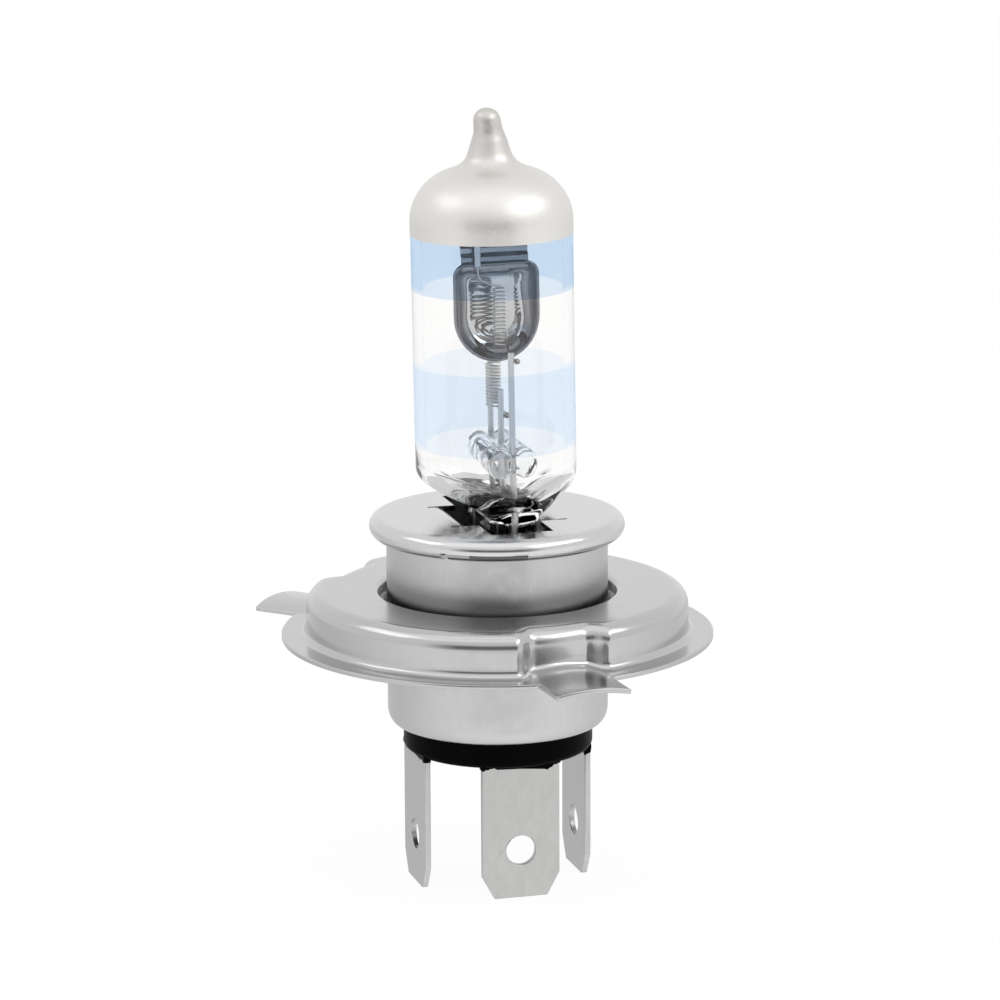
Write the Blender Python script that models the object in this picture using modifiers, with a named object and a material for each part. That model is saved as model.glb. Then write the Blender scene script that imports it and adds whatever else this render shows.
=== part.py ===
"""Two-filament halogen headlight bulb on a three-lug flange cap, as an assembly of its pieces.

Metres, +Z up along the bulb's axis.  The origin is on the axis, in the seat plane that the
crowns of the three lugs lie in.  The front contact blade faces -Y.
"""
import math

import bmesh
import bpy
from mathutils import Matrix, Vector

MM = 0.001
CASING_GAP = 0.3 * MM      # between the sheet-metal and moulded pieces
FINE_GAP = 0.1 * MM        # between the small pieces of the burner
COAT_GAP = 0.03 * MM       # under a coating

# Cap disc and base sleeve
SHEET = 0.4 * MM
SLEEVE_RADIUS = 11.0 * MM
SLEEVE_BOTTOM = -9.54 * MM
SLEEVE_ROLL_HEIGHT = 1.5 * MM
SLEEVE_ROLL_INSET = 0.85 * MM
CAP_TOP = 11.45 * MM
CAP_OVERHANG = 1.68 * MM
CAP_EDGE_HEIGHT = 2.15 * MM
CAP_SLOT_MARGIN = 2.0 * MM             # from the ends of the cap's slot to the sleeve
CAP_SLOT_GAP = 0.2 * MM                # between the pinch and the long sides of the slot
FLAP_WIDTH = 9.0 * MM
FLAP_LENGTH = 3.0 * MM                 # from the pinch out to the end of the flap's slits
FLAP_ROOT = 1.2 * MM                   # from there in to the flap's bend
FLAP_DROP = 3.0 * MM
FLAP_GRIP_GAP = 0.25 * MM              # from the pinch to the middle of the flap's tip
CASING_SEGMENTS = 40

# Lead frame that the envelope holds, stacked upwards from the cap
LEAD_FRAME_OFFSET = 0.6 * MM
LEAD_FRAME_TURN = math.radians(-2.6)
POST_SPACING = 4.5 * MM
POST_RADIUS = 0.3 * MM
FOIL_WIDTH = 1.5 * MM
FOIL_LENGTH = 4.6 * MM
FOIL_THICKNESS = 0.15 * MM
FOIL_DEPTH = 2.45 * MM                 # from the cap's face down to the foils
BRIDGE_RADIUS = 1.1 * MM
BRIDGE_RISE = 0.85 * MM                # of the bridge's axis above the tube's shoulder
BRIDGE_OVERHANG = 1.3 * MM
MAIN_LEG = 3.6 * MM                    # from the bridge up to the main coil
MAIN_COIL_LENGTH = 4.3 * MM
MAIN_COIL_RADIUS = 0.72 * MM
MAIN_COIL_TURNS = 15
MAIN_COIL_OFFSET = (-0.45 * MM, 1.13 * MM)
SHIELD_GAP = 0.55 * MM                 # between the main coil and the shield
DIPPED_RISE = 1.5 * MM                 # of the dipped coil above the shield's lowest point
DIPPED_COIL_LENGTH = 5.6 * MM
DIPPED_COIL_RADIUS = 0.56 * MM
DIPPED_COIL_TURNS = 17
WIRE_RADIUS = 0.1 * MM
SHIELD_HEADROOM = 2.4 * MM             # from the dipped coil up to the shield's upper rim
SHIELD_WIDTH = 8.3 * MM
SHIELD_DEPTH = 2.6 * MM
SHIELD_SHEET = 0.25 * MM
SHIELD_TAB_WIDTH = 6.8 * MM
SHIELD_TAB_HEIGHT = 3.6 * MM
CRIMP_RADIUS = 0.3 * MM
CRIMP_LENGTH = 2.1 * MM
CRIMP_OFFSET = 2.2 * MM
BEAD_RADIUS = 0.28 * MM

# Glass envelope and its coats
BURNER_LEAN = math.radians(-0.8)       # the envelope leans this much towards -X
GLASS_WALL = 1.0 * MM
GLASS_CLEARANCE = 0.33 * MM            # between the lead frame's widest point and the glass
GLASS_SEGMENTS = 24
FUNNEL_DEPTH = 5.0 * MM
FUNNEL_SLOPE = 1.35                    # how late the funnel narrows: 1 is an even S-curve
FUNNEL_CLEARANCE = 0.15 * MM           # between the funnel's foot and the cap's face
CAVITY_DEPTH = 3.75 * MM               # of the hollow below the tube's shoulder
DOME_CLEARANCE = 0.65 * MM             # from the shield's tab up to where the dome starts
DOME_HEIGHT = 5.3 * MM
DOME_EDGE_RADIUS = 5.5 * MM
DOME_JOIN = math.radians(76)           # where the dome's round edge runs into the flare
FLARE_DEPTH = 2.3 * MM                 # how far the neck's flare reaches down into the dome
NECK_FLARE = 0.75 * MM                 # how fast the neck widens in its flare
NECK_RADIUS = 1.85 * MM
NECK_LENGTH = 3.65 * MM                # from the foot of the neck to the tip
TIP_RADIUS = 1.33 * MM
TIP_LEAN = 0.3 * MM
PINCH_FACE_WALL = 1.75 * MM
PINCH_SIDE_WALL = 0.6 * MM
PINCH_LENGTH = 9.45 * MM               # from the cap's face down
SILVER_SKIRT = 1.15 * MM               # of the silver coat below the dome
UPPER_BAND_HEIGHT = 5.35 * MM
LOWER_BAND_RISE = 2.1 * MM             # above the tube's shoulder
LOWER_BAND_HEIGHT = 8.1 * MM
COAT_THICKNESS = 0.12 * MM

# Focus ring: collar, flange and three lugs in one sheet
LUG_RISE = 0.9 * MM                    # of the lugs' crowns above the flange's underside
LUG_LENGTH = 4.9 * MM
LUG_WIDTH = 7.6 * MM
FRONT_LUG_ANGLE = math.radians(-85.5)
LUG_SPACING = math.radians(140.0)
COLLAR_RADIUS = 19.0 * MM
COLLAR_HEIGHT = 4.77 * MM
COLLAR_FILLET = 1.3 * MM
FLANGE_WIDTH = 2.5 * MM
FLANGE_ROOT_FILLET = 0.7 * MM
RING_SHEET = 0.45 * MM
RING_BORE_GAP = 0.8 * MM
RING_NECK = 2.4 * MM
RING_SEGMENTS = 60
RECESS_DEPTH = 1.4 * MM
WELD_RADIUS = 0.6 * MM
WELD_COUNT = 3

# Insulator, contact blades and their leads
INSULATOR_PROUD = 2.74 * MM            # of the insulator below the sleeve
INSULATOR_SEAT = 2.14 * MM             # of the insulator up inside the sleeve
INSULATOR_EDGE = 0.35 * MM
BLADE_LENGTH = 13.59 * MM
BLADE_WIDTH = 7.95 * MM
BLADE_THICKNESS = 0.6 * MM
BLADE_TIP_WIDTH = 5.4 * MM
BLADE_CHAMFER = 2.33 * MM
BLADE_HOLE_RADIUS = 1.5 * MM
BLADE_HOLE_HEIGHT = 4.85 * MM          # above the blade's tip
SIDE_BLADE_INSET = 1.15 * MM
FRONT_BLADE_INSET = 1.6 * MM
SIDE_BLADE_SHIFT = 0.4 * MM
TAB_WIDTH = 4.4 * MM
TAB_PROUD = 1.8 * MM                   # how far a blade's tab stands above the insulator
LEAD_RADIUS = 0.35 * MM
SOLDER_RADIUS = 0.55 * MM

# Heights and radii that follow from the sizes above
SHOULDER_HEIGHT = CAP_TOP + FUNNEL_CLEARANCE + FUNNEL_DEPTH
BRIDGE_HEIGHT = SHOULDER_HEIGHT + BRIDGE_RISE
MAIN_BOTTOM = BRIDGE_HEIGHT + BRIDGE_RADIUS + MAIN_LEG
MAIN_TOP = MAIN_BOTTOM + MAIN_COIL_LENGTH
SHIELD_BOTTOM = MAIN_TOP + SHIELD_GAP
DIPPED_BOTTOM = SHIELD_BOTTOM + DIPPED_RISE
DIPPED_TOP = DIPPED_BOTTOM + DIPPED_COIL_LENGTH
SHIELD_TOP = DIPPED_TOP + SHIELD_HEADROOM
SHIELD_BACK = SHIELD_DEPTH + SHIELD_SHEET
DOME_BASE = SHIELD_TOP + SHIELD_TAB_HEIGHT + DOME_CLEARANCE
FLARE_FOOT = DOME_BASE + DOME_HEIGHT * math.sin(DOME_JOIN)
NECK_FOOT = FLARE_FOOT + FLARE_DEPTH
TIP_HEIGHT = NECK_FOOT + NECK_LENGTH
SILVER_EDGE = DOME_BASE - SILVER_SKIRT
PINCH_BOTTOM = CAP_TOP - PINCH_LENGTH
FOIL_TOP = CAP_TOP - FOIL_DEPTH
BRIDGE_SIDE = POST_RADIUS + FINE_GAP + BRIDGE_RADIUS
BRIDGE_REACH = POST_SPACING + BRIDGE_OVERHANG
BRIDGE_CORNER = math.hypot(LEAD_FRAME_OFFSET + BRIDGE_SIDE + BRIDGE_RADIUS, BRIDGE_REACH)
SHIELD_CORNER = math.hypot(LEAD_FRAME_OFFSET + SHIELD_WIDTH / 2, SHIELD_BACK)
CAVITY_RADIUS = max(BRIDGE_CORNER, SHIELD_CORNER) + GLASS_CLEARANCE
GLASS_RADIUS = CAVITY_RADIUS + GLASS_WALL
CHANNEL_THICKNESS = 2 * (POST_RADIUS + FINE_GAP)
CHANNEL_WIDTH = FOIL_WIDTH + 2 * FINE_GAP
LEAD_SKEW = POST_SPACING * abs(math.sin(LEAD_FRAME_TURN))
PINCH_THICKNESS = 2 * (CHANNEL_THICKNESS / 2 + LEAD_SKEW + PINCH_FACE_WALL)
PINCH_EDGE = LEAD_FRAME_OFFSET + PINCH_THICKNESS / 2
PINCH_WIDTH = 2 * (POST_SPACING + CHANNEL_WIDTH / 2 + PINCH_SIDE_WALL)
FLAP_REACH = PINCH_EDGE + FLAP_LENGTH
SLEEVE_TOP = CAP_TOP - SHEET - CASING_GAP
SLEEVE_INNER_RADIUS = SLEEVE_RADIUS - SHEET
FLANGE_UNDERSIDE = -LUG_RISE
FLANGE_RADIUS = COLLAR_RADIUS + FLANGE_WIDTH
INSULATOR_RADIUS = SLEEVE_RADIUS - SLEEVE_ROLL_INSET - SHEET - CASING_GAP
INSULATOR_BOTTOM = SLEEVE_BOTTOM - INSULATOR_PROUD
INSULATOR_TOP = SLEEVE_BOTTOM + INSULATOR_SEAT
BLADE_BOTTOM = INSULATOR_BOTTOM - BLADE_LENGTH
TAU = 2 * math.pi


def clear_scene():
    for obj in list(bpy.data.objects):
        bpy.data.objects.remove(obj, do_unlink=True)


def new_collection(name):
    collection = bpy.data.collections.new(name)
    bpy.context.scene.collection.children.link(collection)
    return collection


clear_scene()
PARTS = new_collection("headlight_bulb")
CUTTERS = new_collection("cutters")


def new_material(name, color, roughness, metallic=0.0, transmission=0.0):
    material = bpy.data.materials.new(name)
    material.use_nodes = True
    shader = material.node_tree.nodes["Principled BSDF"]
    shader.inputs["Base Color"].default_value = (*color, 1.0)
    shader.inputs["Roughness"].default_value = roughness
    shader.inputs["Metallic"].default_value = metallic
    shader.inputs["Transmission Weight"].default_value = transmission
    return material


def add_empty(name, matrix, parent=None):
    empty = bpy.data.objects.new(name, None)
    PARTS.objects.link(empty)
    empty.parent = parent
    empty.matrix_local = matrix
    return empty


def add_object(name, data, material=None, parent=None, collection=PARTS):
    obj = bpy.data.objects.new(name, data)
    collection.objects.link(obj)
    obj.parent = parent
    if material is not None:
        data.materials.append(material)
    if collection is CUTTERS:
        obj.hide_render = True
        obj.display_type = "WIRE"
    return obj


def mesh_from(name, bm):
    mesh = bpy.data.meshes.new(name)
    bm.to_mesh(mesh)
    bm.free()
    mesh.shade_smooth()
    mesh.set_sharp_from_angle(angle=math.radians(35))
    return mesh


def fillet(center, radius, start_degrees, end_degrees, steps=4):
    """Points (r, z) along a round edge of a profile."""
    points = []
    for step in range(steps + 1):
        angle = math.radians(start_degrees + (end_degrees - start_degrees) * step / steps)
        points.append((center[0] + radius * math.cos(angle), center[1] + radius * math.sin(angle)))
    return points


def turned(name, profile, segments, closed, **placing):
    """A profile of (r, z) points, outer side running down, turned about the axis."""
    bm = bmesh.new()
    verts = [bm.verts.new((r, 0.0, z)) for r, z in profile]
    pairs = list(zip(verts, verts[1:]))
    if closed:
        pairs.append((verts[-1], verts[0]))
    for first, second in pairs:
        bm.edges.new((first, second))
    obj = add_object(name, mesh_from(name, bm), **placing)
    screw = obj.modifiers.new("turn", "SCREW")
    screw.steps = segments
    screw.render_steps = segments
    screw.use_merge_vertices = True
    screw.merge_threshold = 0.00001
    screw.use_smooth_shade = True
    return obj


def ring_of(center, half_x, half_y, exponent=2.0, count=GLASS_SEGMENTS):
    """A level ring of points: an ellipse at exponent 2, nearly a rectangle at a high one."""
    points = []
    for index in range(count):
        angle = TAU * index / count
        c, s = math.cos(angle), math.sin(angle)
        x = half_x * math.copysign(abs(c) ** (2 / exponent), c)
        y = half_y * math.copysign(abs(s) ** (2 / exponent), s)
        points.append((center[0] + x, center[1] + y, center[2]))
    return points


def loft(name, rings, **placing):
    """A closed solid through rings of equal length, with flat ends."""
    bm = bmesh.new()
    loops = [[bm.verts.new(point) for point in ring] for ring in rings]
    for upper, lower in zip(loops, loops[1:]):
        for i in range(len(upper)):
            j = (i + 1) % len(upper)
            bm.faces.new((upper[i], lower[i], lower[j], upper[j]))
    bm.faces.new(loops[0])
    bm.faces.new(loops[-1])
    bmesh.ops.recalc_face_normals(bm, faces=bm.faces)
    return add_object(name, mesh_from(name, bm), **placing)


def box(name, low, high, **placing):
    bm = bmesh.new()
    bmesh.ops.create_cube(bm, size=1.0)
    size = Vector(high) - Vector(low)
    middle = (Vector(high) + Vector(low)) / 2
    bmesh.ops.scale(bm, vec=size, verts=bm.verts)
    bmesh.ops.translate(bm, vec=middle, verts=bm.verts)
    return add_object(name, mesh_from(name, bm), **placing)


def wire(name, points, radius, **placing):
    """A round wire or rod along points, with flat ends."""
    curve = bpy.data.curves.new(name, "CURVE")
    curve.dimensions = "3D"
    curve.bevel_depth = radius
    curve.bevel_resolution = 2
    curve.use_fill_caps = True
    spline = curve.splines.new("POLY")
    spline.points.add(len(points) - 1)
    for target, point in zip(spline.points, points):
        target.co = (*point, 1.0)
    return add_object(name, curve, **placing)


def eased(points, steps):
    """Points along a smooth curve through the given ones."""
    vectors = [Vector(p) for p in points]
    padded = [2 * vectors[0] - vectors[1], *vectors, 2 * vectors[-1] - vectors[-2]]
    result = [vectors[0]]
    for a, b, c, d in zip(padded, padded[1:], padded[2:], padded[3:]):
        for step in range(1, steps + 1):
            t = step / steps
            result.append(0.5 * (2 * b + (c - a) * t + (2 * a - 5 * b + 4 * c - d) * t ** 2
                                 + (3 * b - a - 3 * c + d) * t ** 3))
    return result


def evaluated_mesh(obj):
    bpy.context.view_layer.update()
    graph = bpy.context.evaluated_depsgraph_get()
    mesh = bpy.data.meshes.new_from_object(obj.evaluated_get(graph))
    mesh.name = obj.name
    return mesh


def frozen(obj, collection=PARTS):
    """The object as a plain, welded mesh."""
    mesh = evaluated_mesh(obj)
    bm = bmesh.new()
    bm.from_mesh(mesh)
    bmesh.ops.remove_doubles(bm, verts=bm.verts, dist=0.000001)
    bm.to_mesh(mesh)
    bm.free()
    plain = bpy.data.objects.new(obj.name, mesh)
    collection.objects.link(plain)
    plain.parent = obj.parent
    plain.matrix_local = obj.matrix_local.copy()
    name = obj.name
    bpy.data.objects.remove(obj, do_unlink=True)
    plain.name = name
    return plain


def combine(obj, other, operation):
    modifier = obj.modifiers.new(other.name, "BOOLEAN")
    modifier.operation = operation
    modifier.object = other
    modifier.solver = "EXACT"


def lathe_frame(angle):
    return Matrix.Rotation(angle, 4, "Z")


# --- Glass envelope and its coatings -------------------------------------------------------

def dome_profile(offset):
    """(r, z) from the exhaust tip down to the tube, standing off the glass by offset."""
    edge_center = GLASS_RADIUS - DOME_EDGE_RADIUS
    join_radius = edge_center + DOME_EDGE_RADIUS * math.cos(DOME_JOIN)
    ball_height = TIP_HEIGHT - TIP_RADIUS
    points = []
    for degrees in (75, 45, 15):
        angle = math.radians(degrees)
        points.append((TIP_RADIUS * math.cos(angle), ball_height + TIP_RADIUS * math.sin(angle)))
    for share in (0.4, 1.0):
        points.append((TIP_RADIUS + (NECK_RADIUS - TIP_RADIUS) * share,
                       ball_height + (NECK_FOOT - ball_height) * share))
    for share in (0.35, 0.62, 0.85):
        height = NECK_FOOT - share * FLARE_DEPTH
        flare = math.exp((FLARE_FOOT - height) / NECK_FLARE)
        points.append((NECK_RADIUS + (join_radius - NECK_RADIUS) * flare, height))
    for share in (1.0, 0.84, 0.68, 0.52, 0.36, 0.18, 0.0):
        angle = DOME_JOIN * share
        points.append((edge_center + DOME_EDGE_RADIUS * math.cos(angle),
                       DOME_BASE + DOME_HEIGHT * math.sin(angle)))
    return [(r + offset, z + offset * (z > DOME_BASE)) for r, z in points]


def tip_center(z):
    """Sideways drift of the neck, growing towards the exhaust tip."""
    share = min(max((z - FLARE_FOOT) / (TIP_HEIGHT - FLARE_FOOT), 0.0), 1.0)
    return -TIP_LEAN * share ** 2


def smooth_step(share):
    return share * share * (3 - 2 * share)


def glass_rings():
    rings = [ring_of((tip_center(z), 0.0, z), r, r) for r, z in dome_profile(0.0)]
    rings.append(ring_of((0, 0, SHOULDER_HEIGHT), GLASS_RADIUS, GLASS_RADIUS))
    for share in (0.12, 0.24, 0.36, 0.5, 0.64, 0.78, 0.9, 1.0):
        flat = smooth_step(share ** FUNNEL_SLOPE)
        half_x = GLASS_RADIUS + (PINCH_THICKNESS / 2 - GLASS_RADIUS) * flat
        half_y = GLASS_RADIUS + (PINCH_WIDTH / 2 - GLASS_RADIUS) * share ** 1.5
        center = (LEAD_FRAME_OFFSET * smooth_step(share), 0, SHOULDER_HEIGHT - FUNNEL_DEPTH * share)
        rings.append(ring_of(center, half_x, half_y, 2.0 + 3.0 * share ** 2))
    rings.append(ring_of((LEAD_FRAME_OFFSET, 0, PINCH_BOTTOM), PINCH_THICKNESS / 2,
                         PINCH_WIDTH / 2, 5.0))
    return rings


def cavity_rings():
    top = FLARE_FOOT - GLASS_WALL
    rings = []
    for degrees in (82, 62, 42, 22, 0):
        angle = math.radians(degrees)
        radius = CAVITY_RADIUS * math.cos(angle) ** 0.7
        rings.append(ring_of((0, 0, top - DOME_HEIGHT * (1 - math.sin(angle))), radius, radius))
    for share in (0.0, 0.35, 0.65, 0.9):
        angle = share * math.pi / 2
        half_x = CAVITY_RADIUS * math.cos(angle) ** 1.5
        half_y = max(CAVITY_RADIUS * math.cos(angle) ** 0.6, POST_SPACING + POST_RADIUS + FINE_GAP)
        height = SHOULDER_HEIGHT - CAVITY_DEPTH * math.sin(angle)
        rings.append(ring_of((LEAD_FRAME_OFFSET * share, 0, height), half_x, half_y))
    return rings


def build_glass(burner, lead_frame):
    glass = new_material("clear_glass", (0.95, 0.97, 1.0), 0.02, transmission=1.0)
    envelope = loft("glass_envelope", glass_rings(), material=glass, parent=burner)
    combine(envelope, loft("cavity", cavity_rings(), parent=burner, collection=CUTTERS),
            "DIFFERENCE")
    for index in (-1, 0, 1):
        y = index * POST_SPACING
        low = (-CHANNEL_THICKNESS / 2, y - CHANNEL_WIDTH / 2, PINCH_BOTTOM - MM)
        high = (CHANNEL_THICKNESS / 2, y + CHANNEL_WIDTH / 2, SHOULDER_HEIGHT)
        combine(envelope, box(f"channel_{index}", low, high, parent=lead_frame,
                              collection=CUTTERS), "DIFFERENCE")
    silver = new_material("silver_coat", (0.83, 0.81, 0.78), 0.35, metallic=0.6)
    inner = dome_profile(COAT_GAP)
    outer = dome_profile(COAT_GAP + COAT_THICKNESS)
    rim = GLASS_RADIUS + COAT_GAP
    top = TIP_HEIGHT + COAT_GAP
    shell = [ring_of((tip_center(z), 0, z), r, r) for r, z in reversed(inner)]
    shell.insert(0, ring_of((0, 0, SILVER_EDGE), rim, rim))
    skin = [ring_of((tip_center(z), 0, z), r, r) for r, z in outer]
    skin.append(ring_of((0, 0, SILVER_EDGE), rim + COAT_THICKNESS, rim + COAT_THICKNESS))
    cup("silver_top_coat", skin, list(reversed(shell)), top, silver, burner)
    blue = new_material("blue_coat", (0.45, 0.62, 0.9), 0.1, transmission=0.8)
    lower = SHOULDER_HEIGHT + LOWER_BAND_RISE
    bands = (("blue_band_upper", SILVER_EDGE - UPPER_BAND_HEIGHT, SILVER_EDGE - COAT_GAP),
             ("blue_band_lower", lower, lower + LOWER_BAND_HEIGHT))
    for name, low, high in bands:
        turned(name, [(rim + COAT_THICKNESS, high), (rim + COAT_THICKNESS, low), (rim, low),
                      (rim, high)], GLASS_SEGMENTS, True, material=blue, parent=burner)


def cup(name, outer, inner, inner_top, material, parent):
    """A closed skin between two nests of rings, both given from the top ring down."""
    bm = bmesh.new()
    outer_loops = [[bm.verts.new(point) for point in ring] for ring in outer]
    inner_loops = [[bm.verts.new(point) for point in ring] for ring in inner]
    loops = outer_loops + list(reversed(inner_loops))
    for upper, lower in zip(loops, loops[1:]):
        for i in range(len(upper)):
            j = (i + 1) % len(upper)
            bm.faces.new((upper[i], lower[i], lower[j], upper[j]))
    center = tip_center(inner_top)
    for loop, height in ((loops[0], inner_top + COAT_THICKNESS), (loops[-1], inner_top)):
        peak = bm.verts.new((center, 0.0, height))
        for i in range(len(loop)):
            bm.faces.new((loop[i], loop[(i + 1) % len(loop)], peak))
    bmesh.ops.recalc_face_normals(bm, faces=bm.faces)
    return add_object(name, mesh_from(name, bm), material=material, parent=parent)


# --- Lead frame, filaments and shield -------------------------------------------------------

def build_lead_frame(lead_frame):
    steel = new_material("nickel_wire", (0.62, 0.62, 0.6), 0.3, metallic=1.0)
    quartz = new_material("quartz_bridge", (0.93, 0.95, 0.97), 0.05, transmission=1.0)
    foil = new_material("molybdenum_foil", (0.5, 0.5, 0.52), 0.4, metallic=1.0)
    post_foot = FOIL_TOP + 2 * FINE_GAP
    back_y = SHIELD_BACK + FINE_GAP + POST_RADIUS
    bend = (SHIELD_BOTTOM + BRIDGE_HEIGHT) / 2
    common = eased([(0, POST_SPACING, post_foot), (0, POST_SPACING, bend),
                    (0, POST_SPACING - 0.15 * (POST_SPACING - back_y), SHIELD_BOTTOM - SHIELD_GAP),
                    (0, back_y, DIPPED_BOTTOM), (0, back_y, DIPPED_TOP)], 3)
    wire("common_post", common, POST_RADIUS, material=steel, parent=lead_frame)
    wire("main_post", [(0, 0, post_foot), (0, 0, MAIN_BOTTOM + 0.43 * MAIN_COIL_LENGTH)], POST_RADIUS,
         material=steel, parent=lead_frame)
    wire("dipped_post", [(0, -POST_SPACING, post_foot), (0, -POST_SPACING, DIPPED_BOTTOM)],
         POST_RADIUS, material=steel, parent=lead_frame)
    for name, x in (("bridge_rod_left", -BRIDGE_SIDE), ("bridge_rod_right", BRIDGE_SIDE)):
        wire(name, [(x, -BRIDGE_REACH, BRIDGE_HEIGHT), (x, BRIDGE_REACH, BRIDGE_HEIGHT)],
             BRIDGE_RADIUS,
             material=quartz, parent=lead_frame)
    for index, name in ((-1, "foil_dipped"), (0, "foil_main"), (1, "foil_common")):
        y = index * POST_SPACING
        box(name, (-FOIL_THICKNESS / 2, y - FOIL_WIDTH / 2, FOIL_TOP - FOIL_LENGTH),
            (FOIL_THICKNESS / 2, y + FOIL_WIDTH / 2, FOIL_TOP), material=foil, parent=lead_frame)


def coil_points(center, radius, bottom, length, turns, per_turn=6):
    count = turns * per_turn
    points = []
    for index in range(count + 1):
        angle = TAU * index / per_turn
        points.append((center[0] + radius * math.cos(angle), center[1] + radius * math.sin(angle),
                       bottom + length * index / count))
    return points


def build_filaments(lead_frame):
    tungsten = new_material("tungsten", (0.45, 0.45, 0.46), 0.35, metallic=1.0)
    bead_gap = POST_RADIUS + FINE_GAP + BEAD_RADIUS
    wire_gap = BEAD_RADIUS + WIRE_RADIUS + FINE_GAP

    dipped = coil_points((0.0, 0.0), DIPPED_COIL_RADIUS, DIPPED_BOTTOM, DIPPED_COIL_LENGTH,
                         DIPPED_COIL_TURNS)
    start = Vector(dipped[0])
    bead = Vector((bead_gap, -POST_SPACING, DIPPED_BOTTOM - 0.9 * MM))
    lead_in = [bead + Vector((0, wire_gap, 0)), bead + Vector((0, wire_gap + 1.2 * MM, 0.1 * MM)),
               start + Vector((0.1 * MM, -1.2 * MM, -0.45 * MM))]
    crimp = Vector((-CRIMP_OFFSET, -CRIMP_RADIUS - 0.35 * MM, SHIELD_TOP))
    lead_out = [Vector(dipped[-1]) + Vector((-1.0 * MM, -0.35 * MM, 0.25 * MM)),
                crimp + Vector((0.25 * MM, 0, -1.7 * MM)), crimp + Vector((0, 0, -0.8 * MM)),
                crimp + Vector((0, 0, CRIMP_LENGTH / 2))]
    path = eased(lead_in + [start], 3)[:-1] + [Vector(p) for p in dipped]
    path += eased([Vector(dipped[-1])] + lead_out, 3)[1:]
    wire("dipped_filament", path, WIRE_RADIUS, material=tungsten, parent=lead_frame)
    add_bead("dipped_weld", bead, tungsten, lead_frame)

    main = coil_points(MAIN_COIL_OFFSET, MAIN_COIL_RADIUS, MAIN_BOTTOM, MAIN_COIL_LENGTH,
                       MAIN_COIL_TURNS)
    start = Vector(main[0])
    bead = Vector((bead_gap, 0, MAIN_BOTTOM - 0.8 * MM))
    back = Vector((POST_RADIUS + 2 * FINE_GAP, POST_SPACING - 0.3 * MM, MAIN_TOP + 0.2 * MM))
    lead_in = [bead + Vector((0, wire_gap, 0)),
               bead + Vector((-0.1 * MM, wire_gap + 0.45 * MM, 0.25 * MM))]
    lead_out = [Vector(main[-1]) + Vector((0.1 * MM, 0.9 * MM, 0.25 * MM)), back]
    path = eased(lead_in + [start], 3)[:-1] + [Vector(p) for p in main]
    path += eased([Vector(main[-1])] + lead_out, 3)[1:]
    wire("main_filament", path, WIRE_RADIUS, material=tungsten, parent=lead_frame)
    add_bead("main_weld", bead, tungsten, lead_frame)

    nickel = new_material("crimp_tube", (0.6, 0.66, 0.72), 0.3, metallic=1.0)
    bore = WIRE_RADIUS + 0.05 * MM
    tube = turned("filament_crimp", [(CRIMP_RADIUS, CRIMP_LENGTH), (CRIMP_RADIUS, 0),
                                     (bore, 0), (bore, CRIMP_LENGTH)], 12, True,
                  material=nickel, parent=lead_frame)
    tube.location = crimp


def add_bead(name, center, material, parent):
    bm = bmesh.new()
    bmesh.ops.create_icosphere(bm, subdivisions=2, radius=BEAD_RADIUS)
    bead = add_object(name, mesh_from(name, bm), material=material, parent=parent)
    bead.location = center
    return bead


def shield_outline(inset, depth):
    """Round-bottomed outline of the shield's pan, drawn in from its rim by inset."""
    half = SHIELD_WIDTH / 2 - inset
    top = SHIELD_TOP - inset
    bottom = SHIELD_BOTTOM + inset
    corner = 1.1 * MM
    side_end = bottom + half * 1.05
    points = []
    for step in range(13):
        angle = math.pi * step / 12
        points.append((half * math.cos(angle), depth, side_end - (side_end - bottom) * math.sin(angle)))
    for side in (-1, 1):
        for step in range(5):
            angle = math.pi / 2 * (step / 4 if side < 0 else 1 - step / 4)
            points.append((side * (half - corner + corner * math.cos(angle)), depth,
                           top - corner + corner * math.sin(angle)))
    return points


def build_shield(lead_frame):
    steel = new_material("shield_steel", (0.55, 0.57, 0.6), 0.18, metallic=1.0)
    center = Matrix.Translation((-0.15 * MM, 0, 0))
    bm = bmesh.new()
    loops = []
    for inset, share in ((0.0, 0.0), (0.25 * MM, 0.3), (0.6 * MM, 0.6), (1.1 * MM, 0.85),
                         (1.8 * MM, 1.0)):
        loops.append([bm.verts.new(p) for p in shield_outline(inset, SHIELD_DEPTH * share)])
    for outer, inner in zip(loops, loops[1:]):
        for i in range(len(outer)):
            j = (i + 1) % len(outer)
            bm.faces.new((outer[i], outer[j], inner[j], inner[i]))
    bm.faces.new(loops[-1])
    bmesh.ops.recalc_face_normals(bm, faces=bm.faces)
    bmesh.ops.transform(bm, matrix=center, verts=bm.verts)
    shield = add_object("glare_shield", mesh_from("glare_shield", bm), material=steel,
                        parent=lead_frame)
    thicken(shield, SHIELD_SHEET)
    half = SHIELD_TAB_WIDTH / 2
    steps = [(0.6, -0.6), (0.6, 0.75), (0.9, 1.1), (0.9, 1.6), (1.2, 1.95)]
    profile = [(y * MM, SHIELD_TOP + z * MM) for y, z in steps]
    profile.append((profile[-1][0], SHIELD_TOP + SHIELD_TAB_HEIGHT))
    bm = bmesh.new()
    rows = [[bm.verts.new((x, y, z)) for x in (-half, half)] for y, z in profile]
    for lower, upper in zip(rows, rows[1:]):
        bm.faces.new((lower[0], lower[1], upper[1], upper[0]))
    bmesh.ops.transform(bm, matrix=center, verts=bm.verts)
    tab = add_object("shield_tab", mesh_from("shield_tab", bm), parent=lead_frame,
                     collection=CUTTERS)
    thicken(tab, SHIELD_SHEET)
    combine(shield, tab, "UNION")


def thicken(obj, thickness, offset=1.0):
    solid = obj.modifiers.new("sheet", "SOLIDIFY")
    solid.thickness = thickness
    solid.offset = offset
    solid.use_even_offset = True
    return solid


# --- Cap disc and base sleeve ------------------------------------------------------------------

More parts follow.
